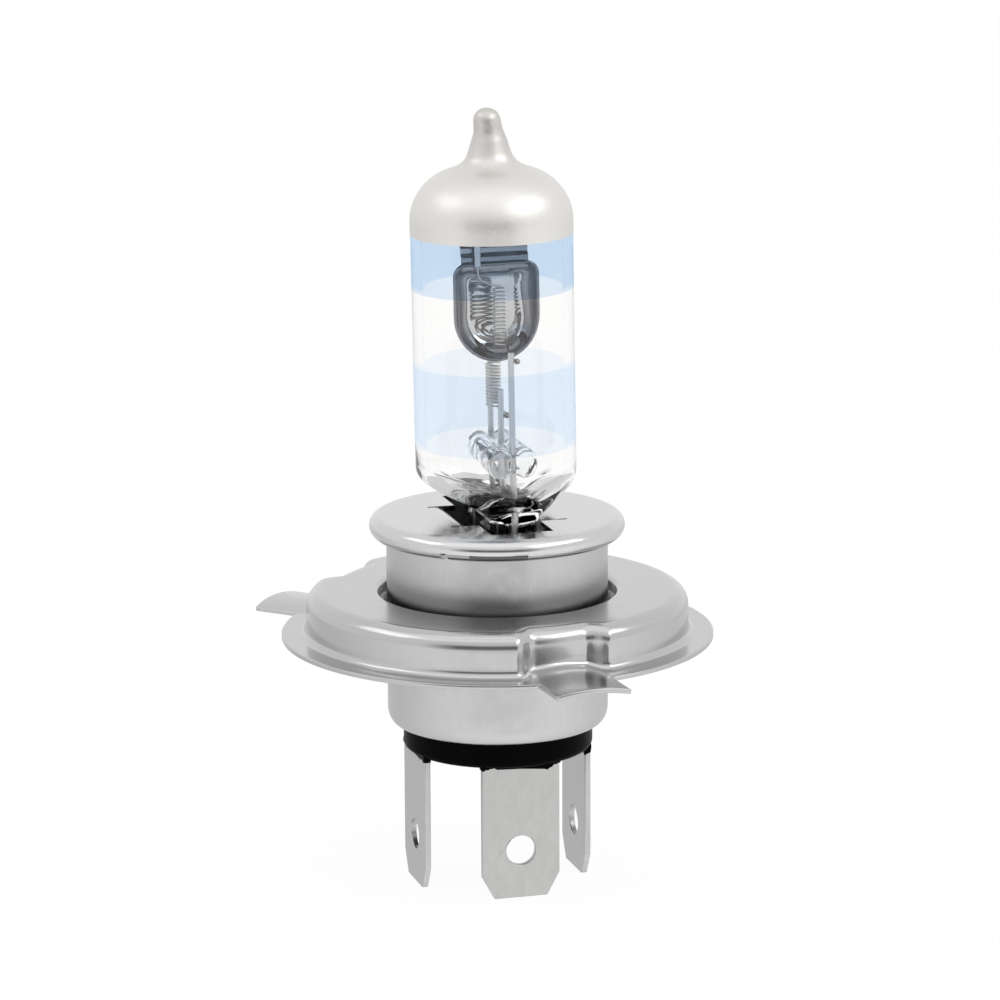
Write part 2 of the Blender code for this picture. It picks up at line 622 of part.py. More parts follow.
def build_casing():
    steel = new_material("stamped_steel", (0.72, 0.72, 0.72), 0.25, metallic=1.0)
    cap_radius = SLEEVE_RADIUS + CAP_OVERHANG
    edge = CAP_EDGE_HEIGHT / 2
    curl_end = SLEEVE_RADIUS + FINE_GAP
    center = (cap_radius - edge, CAP_TOP - edge)
    outer = fillet(center, edge, 90, -90, 6)
    inner = fillet(center, edge - SHEET, -90, 90, 6)
    profile = [(0.0, CAP_TOP)] + outer + [(curl_end, CAP_TOP - CAP_EDGE_HEIGHT),
                                         (curl_end, CAP_TOP - CAP_EDGE_HEIGHT + SHEET)]
    profile += inner + [(0.0, CAP_TOP - SHEET)]
    cap = turned("holder_cap", profile, CASING_SEGMENTS, False, material=steel)
    slot_half = PINCH_EDGE + CAP_SLOT_GAP
    length = SLEEVE_RADIUS - CAP_SLOT_MARGIN
    low = CAP_TOP - 2 * SHEET
    high = CAP_TOP + SHEET
    combine(cap, box("pinch_slot", (-slot_half, -length, low), (slot_half, length, high),
                     collection=CUTTERS), "DIFFERENCE")
    half_flap = FLAP_WIDTH / 2
    combine(cap, box("flap_window", (-FLAP_REACH, -half_flap, low), (FLAP_REACH, half_flap, high),
                     collection=CUTTERS), "DIFFERENCE")
    for side in (-1, 1):
        combine(cap, bent_flap(side, half_flap - CASING_GAP), "UNION")

    radius = SLEEVE_RADIUS
    roll = SLEEVE_ROLL_INSET
    top = SLEEVE_TOP
    shoulder = SLEEVE_BOTTOM + SLEEVE_ROLL_HEIGHT
    outer = [(radius, top), (radius, shoulder),
             (radius - 0.15 * roll, shoulder - 0.5 * SLEEVE_ROLL_HEIGHT),
             (radius - 0.5 * roll, SLEEVE_BOTTOM + 0.12 * SLEEVE_ROLL_HEIGHT),
             (radius - roll, SLEEVE_BOTTOM)]
    inner = [(r - SHEET, z + (SHEET * 0.6 if z < shoulder - 0.1 * MM else 0.0))
             for r, z in reversed(outer)]
    turned("base_sleeve", outer + inner, CASING_SEGMENTS, True, material=steel)


def bent_flap(side, half_width):
    """One of the tongues that the window leaves, bent down towards the pinch."""
    tip = PINCH_THICKNESS / 2 + side * LEAD_FRAME_OFFSET + FLAP_GRIP_GAP
    root = (FLAP_REACH + 0.5 * MM, CAP_TOP - 0.9 * SHEET)
    knee = (FLAP_REACH - FLAP_ROOT, CAP_TOP - 0.9 * SHEET)
    end = (tip, CAP_TOP - FLAP_DROP)
    bm = bmesh.new()
    rows = []
    for x, z in (root, knee, end):
        rows.append([bm.verts.new((side * x, y, z)) for y in (-half_width, half_width)])
    for first, second in zip(rows, rows[1:]):
        bm.faces.new((first[0], first[1], second[1], second[0]))
    name = "flap_left" if side < 0 else "flap_right"
    flap = add_object(name, mesh_from(name, bm), collection=CUTTERS)
    thicken(flap, SHEET * 0.8, offset=0.0)
    return flap


# --- Focus ring -----------------------------------------------------------------------------------

def lug_angles():
    return [FRONT_LUG_ANGLE, FRONT_LUG_ANGLE - LUG_SPACING, FRONT_LUG_ANGLE + LUG_SPACING]


def ring_profile():
    """Mid-sheet line (r, z) from the flange's edge in over the collar and down its neck."""
    half = RING_SHEET / 2
    flange = FLANGE_UNDERSIDE + half
    top = FLANGE_UNDERSIDE + COLLAR_HEIGHT - half
    wall = COLLAR_RADIUS - half
    neck = SLEEVE_RADIUS + RING_BORE_GAP + half
    root = FLANGE_ROOT_FILLET
    points = [(neck, top - RING_NECK), (neck, top - half)]
    points.append((neck + half, top))
    points += fillet((wall - COLLAR_FILLET, top - COLLAR_FILLET), COLLAR_FILLET, 90, 0, 3)
    points += fillet((wall + root, flange + root), root, 180, 270, 2)
    points.append((FLANGE_RADIUS, flange))
    return points


def build_ring():
    steel = new_material("ring_steel", (0.75, 0.75, 0.75), 0.22, metallic=1.0)
    sheet = turned("ring_sheet", ring_profile(), RING_SEGMENTS, False, material=steel)
    thicken(sheet, RING_SHEET, offset=0.0)
    ring = frozen(sheet)
    ring.name = "focus_ring"
    press_recesses(ring.data)
    for index, angle in enumerate(lug_angles()):
        combine(ring, lug(f"lug_{index}", angle), "UNION")
    weld = new_material("weld_spot", (0.5, 0.5, 0.5), 0.4, metallic=1.0)
    height = FLANGE_UNDERSIDE + COLLAR_HEIGHT - RING_NECK
    inner = SLEEVE_RADIUS + FINE_GAP
    outer = SLEEVE_RADIUS + RING_BORE_GAP - FINE_GAP
    for index in range(WELD_COUNT):
        bm = bmesh.new()
        bmesh.ops.create_cone(bm, cap_ends=True, segments=12, radius1=WELD_RADIUS,
                              radius2=WELD_RADIUS, depth=outer - inner)
        spot = add_object(f"ring_weld_{index + 1}", mesh_from("weld", bm), material=weld)
        turn = lathe_frame(FRONT_LUG_ANGLE + math.pi / 3 + TAU * index / WELD_COUNT)
        place = Matrix.Translation(((inner + outer) / 2, 0, height))
        spot.matrix_local = turn @ place @ Matrix.Rotation(math.pi / 2, 4, "Y")


def press_recesses(mesh):
    """Press the collar's wall inwards above each lug."""
    base = FLANGE_UNDERSIDE + RING_SHEET
    span = COLLAR_HEIGHT - RING_SHEET
    limit = COLLAR_RADIUS - 2.2 * COLLAR_FILLET
    half_angle = 0.7 * LUG_WIDTH / COLLAR_RADIUS
    for vertex in mesh.vertices:
        x, y, z = vertex.co
        radius = math.hypot(x, y)
        if radius < limit or radius > COLLAR_RADIUS + FLANGE_ROOT_FILLET + RING_SHEET:
            continue
        angle = math.atan2(y, x)
        gap = min(abs(math.remainder(angle - middle, TAU)) for middle in lug_angles())
        across = max(0.0, 1 - (gap / half_angle) ** 4)
        up = min(max((z - base + 0.4 * span) / (0.4 * span), 0.0), 1.0)
        shrink = 1 - RECESS_DEPTH * across * up / radius
        vertex.co = (x * shrink, y * shrink, z)


def lug(name, angle):
    """An arched tongue whose crown reaches the seat plane."""
    columns = 9
    start = COLLAR_RADIUS + FLANGE_ROOT_FILLET / 2
    reach = FLANGE_RADIUS + LUG_LENGTH
    bm = bmesh.new()
    rows = []
    for radius in (start, reach):
        row = []
        for index in range(columns):
            across = (index / (columns - 1) - 0.5) * LUG_WIDTH
            arch = 1 - (2 * across / LUG_WIDTH) ** 2
            height = FLANGE_UNDERSIDE + RING_SHEET * 0.6 + (LUG_RISE - RING_SHEET * 1.1) * arch
            row.append(bm.verts.new((math.sqrt(radius ** 2 - across ** 2), across, height)))
        rows.append(row)
    for i in range(columns - 1):
        bm.faces.new((rows[0][i], rows[1][i], rows[1][i + 1], rows[0][i + 1]))
    plate = add_object(name, mesh_from(name, bm), collection=CUTTERS)
    plate.matrix_local = lathe_frame(angle)
    thicken(plate, RING_SHEET, offset=0.0)
    return plate


# --- Insulator, blades and leads --------------------------------------------------------------------

def blade_places():
    """Name, matrix that carries a blade's flat outline to its place, and its lead's post index."""
    side_x = INSULATOR_RADIUS - SIDE_BLADE_INSET
    front_y = -(INSULATOR_RADIUS - FRONT_BLADE_INSET)
    upright = Matrix.Rotation(math.pi / 2, 4, "X")
    left = Matrix.Translation((-side_x, SIDE_BLADE_SHIFT, 0)) @ lathe_frame(math.pi / 2) @ upright
    right = Matrix.Translation((side_x, SIDE_BLADE_SHIFT, 0)) @ lathe_frame(math.pi / 2) @ upright
    front = Matrix.Translation((0, front_y, 0)) @ upright
    return (("main", left, 0), ("common", right, 1), ("dipped", front, -1))


def blade_outline():
    half = BLADE_WIDTH / 2
    tip = BLADE_TIP_WIDTH / 2
    shoulder = INSULATOR_BOTTOM - FINE_GAP
    tab = TAB_WIDTH / 2
    tab_top = INSULATOR_TOP + TAB_PROUD
    right = [(tip, BLADE_BOTTOM), (half, BLADE_BOTTOM + BLADE_CHAMFER), (half, shoulder),
             (tab, shoulder), (tab, tab_top)]
    return right + [(-x, z) for x, z in reversed(right)]


def flat_plate(name, outline, hole_center, hole_radius, thickness, **placing):
    curve = bpy.data.curves.new(name, "CURVE")
    curve.dimensions = "2D"
    curve.fill_mode = "BOTH"
    curve.extrude = thickness / 2
    hole = [(hole_center[0] + hole_radius * math.cos(TAU * i / 20),
             hole_center[1] + hole_radius * math.sin(TAU * i / 20)) for i in range(20)]
    for points in (outline, hole):
        spline = curve.splines.new("POLY")
        spline.points.add(len(points) - 1)
        for target, (x, y) in zip(spline.points, points):
            target.co = (x, y, 0.0, 1.0)
        spline.use_cyclic_u = True
    return add_object(name, curve, **placing)


def build_base():
    black = new_material("black_insulator", (0.01, 0.01, 0.01), 0.25)
    tin = new_material("tinned_blade", (0.68, 0.68, 0.66), 0.35, metallic=1.0)
    copper = new_material("lead_wire", (0.55, 0.5, 0.45), 0.35, metallic=1.0)
    solder = new_material("solder", (0.6, 0.6, 0.6), 0.3, metallic=1.0)
    neck = INSULATOR_RADIUS
    wide = SLEEVE_INNER_RADIUS - CASING_GAP
    step = SLEEVE_BOTTOM + SLEEVE_ROLL_HEIGHT + CASING_GAP
    edge = INSULATOR_EDGE
    profile = [(0.0, INSULATOR_TOP), (wide, INSULATOR_TOP), (wide, step + MM * 0.3), (neck, step)]
    profile += fillet((neck - edge, INSULATOR_BOTTOM + edge), edge, 0, -90, 3)
    profile.append((0.0, INSULATOR_BOTTOM))
    insulator = turned("insulator", profile, CASING_SEGMENTS, False, material=black)
    thickness = BLADE_THICKNESS / 2 + FINE_GAP
    width = TAB_WIDTH / 2 + FINE_GAP
    tab_top = INSULATOR_TOP + TAB_PROUD
    for name, place, post in blade_places():
        slot = box(f"slot_{name}", (-width, INSULATOR_BOTTOM - MM, -thickness),
                   (width, tab_top, thickness), collection=CUTTERS)
        slot.matrix_local = place
        combine(insulator, slot, "DIFFERENCE")
        blade = flat_plate(f"terminal_{name}", blade_outline(),
                           (0, BLADE_BOTTOM + BLADE_HOLE_HEIGHT), BLADE_HOLE_RADIUS,
                           BLADE_THICKNESS, material=tin)
        blade.matrix_local = place
        outward = place.to_translation()
        inward = Vector((-outward.x if post >= 0 else 0.0, -outward.y if post < 0 else 0.0, 0))
        inward.normalize()
        bead_center = outward + inward * (BLADE_THICKNESS / 2 + FINE_GAP + SOLDER_RADIUS)
        bead_center.z = tab_top - SOLDER_RADIUS
        bm = bmesh.new()
        bmesh.ops.create_icosphere(bm, subdivisions=2, radius=SOLDER_RADIUS)
        joint = add_object(f"solder_{name}", mesh_from("solder", bm), material=solder)
        joint.location = bead_center
        start = LEAD_FRAME @ Vector((0, post * POST_SPACING, FOIL_TOP - FOIL_LENGTH - 2 * FINE_GAP))
        below = LEAD_FRAME @ Vector((0, post * POST_SPACING, PINCH_BOTTOM - 1.5 * MM))
        end = bead_center + Vector((0, 0, SOLDER_RADIUS + FINE_GAP))
        above = end + Vector((0, 0, 2.2 * MM))
        wire(f"lead_{name}", [start] + eased([below, (below + above) / 2, above, end], 4),
             LEAD_RADIUS, material=copper)


PIVOT = Matrix.Translation((0, 0, CAP_TOP))
BURNER_FRAME = PIVOT @ Matrix.Rotation(BURNER_LEAN, 4, "Y") @ PIVOT.inverted()
LEAD_LOCAL = Matrix.Translation((LEAD_FRAME_OFFSET, 0, 0)) @ lathe_frame(LEAD_FRAME_TURN)
LEAD_FRAME = BURNER_FRAME @ LEAD_LOCAL

burner_frame = add_empty("burner_frame", BURNER_FRAME)
leads = add_empty("lead_frame", LEAD_LOCAL, burner_frame)
build_glass(burner_frame, leads)
build_lead_frame(leads)
build_filaments(leads)
build_shield(leads)
build_casing()
build_ring()
build_base()
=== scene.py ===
import math

import bmesh
import bpy
from mathutils import Matrix, Vector, noise


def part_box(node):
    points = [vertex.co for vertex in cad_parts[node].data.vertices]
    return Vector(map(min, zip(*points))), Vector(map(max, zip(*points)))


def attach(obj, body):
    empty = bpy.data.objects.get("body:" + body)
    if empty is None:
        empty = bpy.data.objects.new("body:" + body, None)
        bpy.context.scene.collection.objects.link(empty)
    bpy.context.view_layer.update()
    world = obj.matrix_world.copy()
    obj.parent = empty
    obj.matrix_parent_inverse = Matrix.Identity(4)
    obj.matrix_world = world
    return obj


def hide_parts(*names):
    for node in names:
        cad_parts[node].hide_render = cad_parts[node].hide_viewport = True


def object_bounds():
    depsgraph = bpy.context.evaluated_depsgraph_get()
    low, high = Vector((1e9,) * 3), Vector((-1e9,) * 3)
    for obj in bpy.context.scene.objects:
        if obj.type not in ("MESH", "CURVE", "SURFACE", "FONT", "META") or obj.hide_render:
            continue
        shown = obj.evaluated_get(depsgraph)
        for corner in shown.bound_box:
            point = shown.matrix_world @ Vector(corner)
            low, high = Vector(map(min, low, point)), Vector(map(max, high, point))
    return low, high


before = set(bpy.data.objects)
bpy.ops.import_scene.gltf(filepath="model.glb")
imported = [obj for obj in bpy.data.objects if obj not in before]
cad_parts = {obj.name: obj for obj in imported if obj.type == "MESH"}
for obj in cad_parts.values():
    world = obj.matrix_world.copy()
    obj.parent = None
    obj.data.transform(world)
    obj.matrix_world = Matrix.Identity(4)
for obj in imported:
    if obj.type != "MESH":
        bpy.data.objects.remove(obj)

# --- Studio ----------------------------------------------------------------
# The bulb stands on its contact blades on a pale floor in a white tent. Three soft boxes light it,
# a strong one to the right, a weaker one to the left and a long faint one above. The dark end of
# the studio behind the camera shows only as a reflection in polished metal.
MM = 0.001
TAU = 2 * math.pi
CAMERA_PLACE = Vector((-121.43, -424.61, 113.40)) * MM
CAMERA_HEADING = math.radians(16.0)     # from +Y towards +X
CAMERA_DIP = math.radians(12.836)
CAMERA_ROLL = math.radians(-0.284)
CAMERA_LENS = 164.65
FLOOR_RADIUS = 3.0
SUBJECT = Vector((0.0, 0.0, 15.0)) * MM
TENT_ABOVE = (1.0, 1.0, 1.0)
TENT_FRONT = (1.2, 1.2, 1.2)            # below the horizon, on the camera's side
TENT_BACK = (0.80, 0.80, 0.81)          # below the horizon, on the far side
DARK_END_DISTANCE = 0.62
DARK_END_ROWS = ((-11, 0.0), (-7, 0.5), (-2, 0.8), (4, 0.9), (11, 0.85), (18, 0.5),
                 (25, 0.0))             # rise above the horizon, strength
DARK_END_TURN = 44                      # to each side
DARK_END_FADE = 20

scene = bpy.context.scene
scene.view_settings.view_transform = "Standard"
cad_box = [list(corner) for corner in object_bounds()]


def added(name, data):
    """A new object in the scene."""
    obj = bpy.data.objects.new(name, data)
    scene.collection.objects.link(obj)
    return obj


def mesh_of(name, bm):
    """The bmesh as a mesh; the bmesh is used up."""
    mesh = bpy.data.meshes.new(name)
    bm.to_mesh(mesh)
    bm.free()
    return mesh


camera_data = bpy.data.cameras.new("camera")
camera_data.lens = CAMERA_LENS
camera_data.sensor_width = 36.0
camera = added("camera", camera_data)
camera.matrix_world = (Matrix.Translation(CAMERA_PLACE)
                       @ Matrix.Rotation(-CAMERA_HEADING, 4, "Z")
                       @ Matrix.Rotation(math.pi / 2 - CAMERA_DIP, 4, "X")
                       @ Matrix.Rotation(CAMERA_ROLL, 4, "Z"))
scene.camera = camera


def add_node(tree, kind, values=(), out=None, **settings):
    """A node with its settings, and each named input set to a value or linked to a socket.

    Gives the named output, or the node where none is named.
    """
    node = tree.nodes.new(kind)
    for setting, value in settings.items():
        setattr(node, setting, value)
    for socket, value in dict(values).items():
        if isinstance(value, bpy.types.NodeSocket):
            tree.links.new(value, node.inputs[socket])
        else:
            node.inputs[socket].default_value = value
    return node.outputs[out] if out else node


def blend(tree, share, first, second, mode="MIX"):
    """Two colours mixed by share, each of them three numbers or a socket."""
    first, second = (color if isinstance(color, bpy.types.NodeSocket) else (*color, 1.0)
                     for color in (first, second))
    return add_node(tree, "ShaderNodeMix", {"Factor": share, "A": first, "B": second}, "Result",
                    data_type="RGBA", blend_type=mode)


def ramp(tree, value, low, high, to=(0.0, 1.0), interpolation="LINEAR"):
    """The value's range from low to high brought to another range."""
    return add_node(tree, "ShaderNodeMapRange",
                    {"Value": value, "From Min": low, "From Max": high,
                     "To Min": to[0], "To Max": to[1]}, "Result", interpolation_type=interpolation)


tent = bpy.data.worlds.new("white_tent")
tent.use_nodes = True
tent_tree = tent.node_tree
tent_way = add_node(tent_tree, "ShaderNodeTexCoord", out="Generated")
tent_parts = add_node(tent_tree, "ShaderNodeSeparateXYZ", {"Vector": tent_way}).outputs
tent_floor = blend(tent_tree, ramp(tent_tree, tent_parts["Y"], -0.6, 0.8), TENT_FRONT, TENT_BACK)
tent_color = blend(tent_tree, ramp(tent_tree, tent_parts["Z"], 0.02, -0.12), TENT_ABOVE, tent_floor)
tent_tree.links.new(tent_color, tent_tree.nodes["Background"].inputs["Color"])
scene.world = tent


def shader_of(material):
    return material.node_tree.nodes["Principled BSDF"]


def shaded(name, **values):
    """A material with the given values on its shader's own sockets."""
    material = bpy.data.materials.new(name)
    material.use_nodes = True
    for socket, value in values.items():
        shader_of(material).inputs[socket.replace("_", " ")].default_value = value
    return material


def from_subject(turn, rise, distance):
    """A place seen from the bulb: turn is to the right of the camera, rise above the horizon."""
    angle = math.radians(turn) - math.pi / 2 - CAMERA_HEADING
    level = math.cos(math.radians(rise))
    towards = Vector((level * math.cos(angle), level * math.sin(angle),
                      math.sin(math.radians(rise))))
    return SUBJECT + distance * towards


def softbox(name, turn, rise, distance, width, height, radiance):
    """A soft box that faces the bulb and doesn't show itself."""
    light = bpy.data.lights.new(name, "AREA")
    light.shape = "RECTANGLE"
    light.size = width
    light.size_y = height
    light.energy = radiance * math.pi * width * height
    box = added(name, light)
    place = from_subject(turn, rise, distance)
    facing = (SUBJECT - place).to_track_quat("-Z", "Y")
    box.matrix_world = Matrix.LocRotScale(place, facing, None)
    box.visible_camera = False


softbox("softbox_right", 64, 40, 1.0, 0.85, 0.34, 2.0)
softbox("softbox_left", -85, 42, 1.0, 0.60, 0.30, 1.0)
softbox("softbox_above", 0, 68, 0.9, 1.6, 0.70, 0.30)

floor_bm = bmesh.new()
bmesh.ops.create_circle(floor_bm, cap_ends=True, segments=96, radius=FLOOR_RADIUS)
bmesh.ops.translate(floor_bm, vec=(0, 0, cad_box[0][2] - 0.02 * MM), verts=floor_bm.verts)
floor = added("floor", mesh_of("floor", floor_bm))
floor.data.materials.append(
    shaded("pale_floor", Base_Color=(0.05, 0.05, 0.05, 1.0), Roughness=0.9,
           Specular_IOR_Level=0.0, Emission_Color=(1.0, 1.0, 1.0, 1.0), Emission_Strength=0.95))
floor.visible_glossy = False

dark_bm = bmesh.new()
dark_strength = dark_bm.verts.layers.float.new("strength")
dark_rows = []
for rise, row_strength in DARK_END_ROWS:
    row = []
    for turn in range(-DARK_END_TURN, DARK_END_TURN + 1, 4):
        vert = dark_bm.verts.new(from_subject(turn, rise, DARK_END_DISTANCE))
        vert[dark_strength] = row_strength * min(1.0, (DARK_END_TURN - abs(turn)) / DARK_END_FADE)
        row.append(vert)
    dark_rows.append(row)
for lower, upper in zip(dark_rows, dark_rows[1:]):
    for first, second, third, fourth in zip(lower, lower[1:], upper[1:], upper):
        dark_bm.faces.new((first, second, third, fourth))
dark = shaded("dark_cloth", Base_Color=(0.02, 0.02, 0.02, 1.0), Roughness=1.0)
dark_fade = add_node(dark.node_tree, "ShaderNodeAttribute", out="Fac", attribute_name="strength")
dark.node_tree.links.new(dark_fade, shader_of(dark).inputs["Alpha"])
dark_end = added("dark_end", mesh_of("dark_end", dark_bm))
dark_end.data.materials.append(dark)
for ray in ("camera", "diffuse", "transmission", "shadow", "volume_scatter"):
    setattr(dark_end, f"visible_{ray}", False)

# --- Foils and posts -------------------------------------------------------
# Three molybdenum foils carry the current through the pinched glass. A bright nickel post stands
# on each: the common post behind, the main beam's short one and the dipped beam's in front.
CAP_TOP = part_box("holder_cap")[1][2]
BURNER_LEAN = math.radians(-0.8)
LEAD_FRAME_OFFSET = 0.6 * MM
LEAD_FRAME_TURN = math.radians(-2.6)
POST_SPACING = 4.5 * MM
POST_RADIUS = 0.3 * MM
POST_FOOT = 9.2 * MM
COMMON_POST_PATH = ((4.5, 9.2), (4.5, 22.2), (4.27, 26.45), (3.25, 28.5), (3.25, 34.1))
MAIN_POST_TOP = 24.0 * MM
DIPPED_POST_TOP = 28.5 * MM

BURNER_FRAME = (Matrix.Translation((0, 0, CAP_TOP)) @ Matrix.Rotation(BURNER_LEAN, 4, "Y")
                @ Matrix.Translation((0, 0, -CAP_TOP)))
LEAD_FRAME = (BURNER_FRAME @ Matrix.Translation((LEAD_FRAME_OFFSET, 0, 0))
              @ Matrix.Rotation(LEAD_FRAME_TURN, 4, "Z"))


def grain(material, scale, rough, depth, tint=None, stretch=(1.0, 1.0, 1.0)):
    """Fine grain on object coordinates: a range of roughness, a depth of bump and two tints."""
    tree, shader = material.node_tree, shader_of(material)
    place = add_node(tree, "ShaderNodeTexCoord", out="Object")
    stretched = add_node(tree, "ShaderNodeMapping", {"Vector": place, "Scale": stretch}, "Vector")
    grains = add_node(tree, "ShaderNodeTexNoise", {"Vector": stretched, "Scale": scale,
                                                   "Detail": 5.0, "Roughness": 0.6}, "Fac")
    tree.links.new(ramp(tree, grains, 0.3, 0.7, rough), shader.inputs["Roughness"])
    bump = add_node(tree, "ShaderNodeBump", {"Height": grains, "Distance": depth}, "Normal")
    tree.links.new(bump, shader.inputs["Normal"])
    if tint:
        tree.links.new(blend(tree, grains, *tint), shader.inputs["Base Color"])
    return bump


def metal(name, scale, rough, depth, tint, stretch=(1.0, 1.0, 1.0)):
    """A bare metal with its grain."""
    material = shaded(name, Metallic=1.0)
    grain(material, scale, rough, depth, tint, stretch)
    return material


def wire_tree():
    """Node tree that draws a round wire along a path, and any coil of turns that it carries."""
    tree = bpy.data.node_groups.new("wire_along_path", "GeometryNodeTree")
    for name, kind in (("Path", "Geometry"), ("Wire Radius", "Float"), ("Coil Radius", "Float"),
                       ("Coil Length", "Float"), ("Turns", "Float"), ("Coil Foot", "Vector"),
                       ("Sides", "Int"), ("Finish", "Material")):
        tree.interface.new_socket(name, in_out="INPUT", socket_type=f"NodeSocket{kind}")
    tree.interface.new_socket("Wire", in_out="OUTPUT", socket_type="NodeSocketGeometry")
    given = add_node(tree, "NodeGroupInput").outputs
    path = add_node(tree, "GeometryNodeMeshToCurve", {"Mesh": given["Path"]}, "Curve")
    coil = add_node(tree, "GeometryNodeCurveSpiral",
                    {"Resolution": 20, "Reverse": False, "Rotations": given["Turns"],
                     "Start Radius": given["Coil Radius"], "End Radius": given["Coil Radius"],
                     "Height": given["Coil Length"]}, "Curve")
    placed = add_node(tree, "GeometryNodeTransform",
                      {"Geometry": coil, "Translation": given["Coil Foot"]}, "Geometry")
    both = add_node(tree, "GeometryNodeJoinGeometry", {"Geometry": placed})
    tree.links.new(path, both.inputs["Geometry"])
    section = add_node(tree, "GeometryNodeCurvePrimitiveCircle",
                       {"Resolution": given["Sides"], "Radius": given["Wire Radius"]}, "Curve")
    sweep = add_node(tree, "GeometryNodeCurveToMesh",
                     {"Curve": both.outputs["Geometry"], "Profile Curve": section,
                      "Fill Caps": True}, "Mesh")
    smooth = add_node(tree, "GeometryNodeSetShadeSmooth", {"Geometry": sweep}, "Geometry")
    real = add_node(tree, "GeometryNodeRealizeInstances", {"Geometry": smooth}, "Geometry")
    paint = add_node(tree, "GeometryNodeSetMaterial",
                     {"Geometry": real, "Material": given["Finish"]}, "Geometry")
    add_node(tree, "NodeGroupOutput", {"Wire": paint})
    return tree


def run_nodes(name, mesh, tree, values):
    """A mesh taken through a node tree and kept as a plain mesh."""
    source = added(name, mesh)
    modifier = source.modifiers.new("shape", "NODES")
    modifier.node_group = tree
    for item in tree.interface.items_tree:
        if item.name in values:
            modifier[item.identifier] = values[item.name]
    graph = bpy.context.evaluated_depsgraph_get()
    made = bpy.data.meshes.new_from_object(source.evaluated_get(graph))
    bpy.data.objects.remove(source, do_unlink=True)
    made.name = name
    return made


def add_piece(name, mesh, material, slot, *nodes):
    """A finished piece on the bulb's one body, standing for CAD nodes."""
    mesh.materials.clear()
    mesh.materials.append(material)
    mesh.validate()
    piece = added(name, mesh)
    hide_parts(*nodes)
    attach(piece, "root")
    return piece


def repaint(node, material):
    """A CAD node whose shape is right, with a better finish."""
    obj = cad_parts[node]
    for place in obj.material_slots:
        place.material = material


def path_mesh(name, paths):
    """Loose edges through each list of points."""
    bm = bmesh.new()
    for points in paths:
        verts = [bm.verts.new(point) for point in points]
        for first, second in zip(verts, verts[1:]):
            bm.edges.new((first, second))
    return mesh_of(name, bm)


def eased(points, steps):
    """Points along a smooth curve through the given ones."""
    vectors = [Vector(p) for p in points]
    padded = [2 * vectors[0] - vectors[1], *vectors, 2 * vectors[-1] - vectors[-2]]
    result = [vectors[0]]
    for a, b, c, d in zip(padded, padded[1:], padded[2:], padded[3:]):
        for step in range(1, steps + 1):
            t = step / steps
            result.append(0.5 * (2 * b + (c - a) * t + (2 * a - 5 * b + 4 * c - d) * t ** 2
                                 + (3 * b - a - 3 * c + d) * t ** 3))
    return result


WIRE_TREE = wire_tree()
nickel = metal("nickel_post", 2500.0, (0.28, 0.42), 0.004 * MM,
               ((0.50, 0.51, 0.52), (0.64, 0.65, 0.66)), (1.0, 1.0, 0.12))
posts = (("common_post", eased([(0, y * MM, z * MM) for y, z in COMMON_POST_PATH], 8)),
         ("main_post", [(0, 0, POST_FOOT), (0, 0, MAIN_POST_TOP)]),
         ("dipped_post", [(0, -POST_SPACING, POST_FOOT), (0, -POST_SPACING, DIPPED_POST_TOP)]))
for post_name, post_path in posts:
    post = run_nodes(f"{post_name}_fine", path_mesh(post_name, [post_path]), WIRE_TREE,
                     {"Wire Radius": POST_RADIUS, "Sides": 20, "Finish": nickel,
                      "Coil Radius": 0.0, "Coil Length": 0.0, "Turns": 0.0})
    post.transform(LEAD_FRAME)
    add_piece(f"{post_name}_fine", post, nickel, "nickel_wire", post_name)
foil_metal = metal("molybdenum_foil", 1800.0, (0.3, 0.5), 0.003 * MM,
                   ((0.42, 0.42, 0.44), (0.55, 0.55, 0.57)), (1.0, 4.0, 0.3))
for node in ("foil_common", "foil_main", "foil_dipped"):
    repaint(node, foil_metal)

# --- Quartz bridge ---------------------------------------------------------
# Two clear quartz rods, fused side by side across the three posts while soft, so that they make
# one bar with a waist. Its ends are fire-rounded and its skin is uneven.
BRIDGE_HEIGHT = 17.45 * MM
BRIDGE_FRONT = -5.3 * MM
BRIDGE_BACK = 5.8 * MM
BRIDGE_LOBE = (1.27 * MM, 1.18 * MM, 1.45 * MM)     # middle, half width, half height
BRIDGE_WAIST = 1.0 * MM
BRIDGE_END = 0.9 * MM

noise.seed_set(3)                       # the same unevenness each run, here and in the glass


def finished(name, bm, sharp=35.0, place=Matrix()):
    """The bmesh as a smooth mesh in its place, with its sharp edges kept."""
    mesh = mesh_of(name, bm)
    mesh.shade_smooth()
    mesh.set_sharp_from_angle(angle=math.radians(sharp))
    mesh.transform(place)
    return mesh


def skin(bm, loops, close_first=True):
    """Faces from each loop of vertices to the next, end loops filled, all of them facing out."""
    faces = []
    for upper, lower in zip(loops, loops[1:]):
        for i in range(len(upper)):
            j = (i + 1) % len(upper)
            faces.append(bm.faces.new((upper[i], lower[i], lower[j], upper[j])))
    if close_first:
        faces.append(bm.faces.new(loops[0]))
    faces.append(bm.faces.new(loops[-1]))
    bmesh.ops.recalc_face_normals(bm, faces=faces)
    return faces


def oval(half_x, half_y, exponent, count):
    """Points (x, y) round an ellipse at exponent 2, nearly a rectangle at a high one."""
    for index in range(count):
        angle = TAU * index / count
        c, s = math.cos(angle), math.sin(angle)
        yield (half_x * math.copysign(abs(c) ** (2 / exponent), c),
               half_y * math.copysign(abs(s) ** (2 / exponent), s))


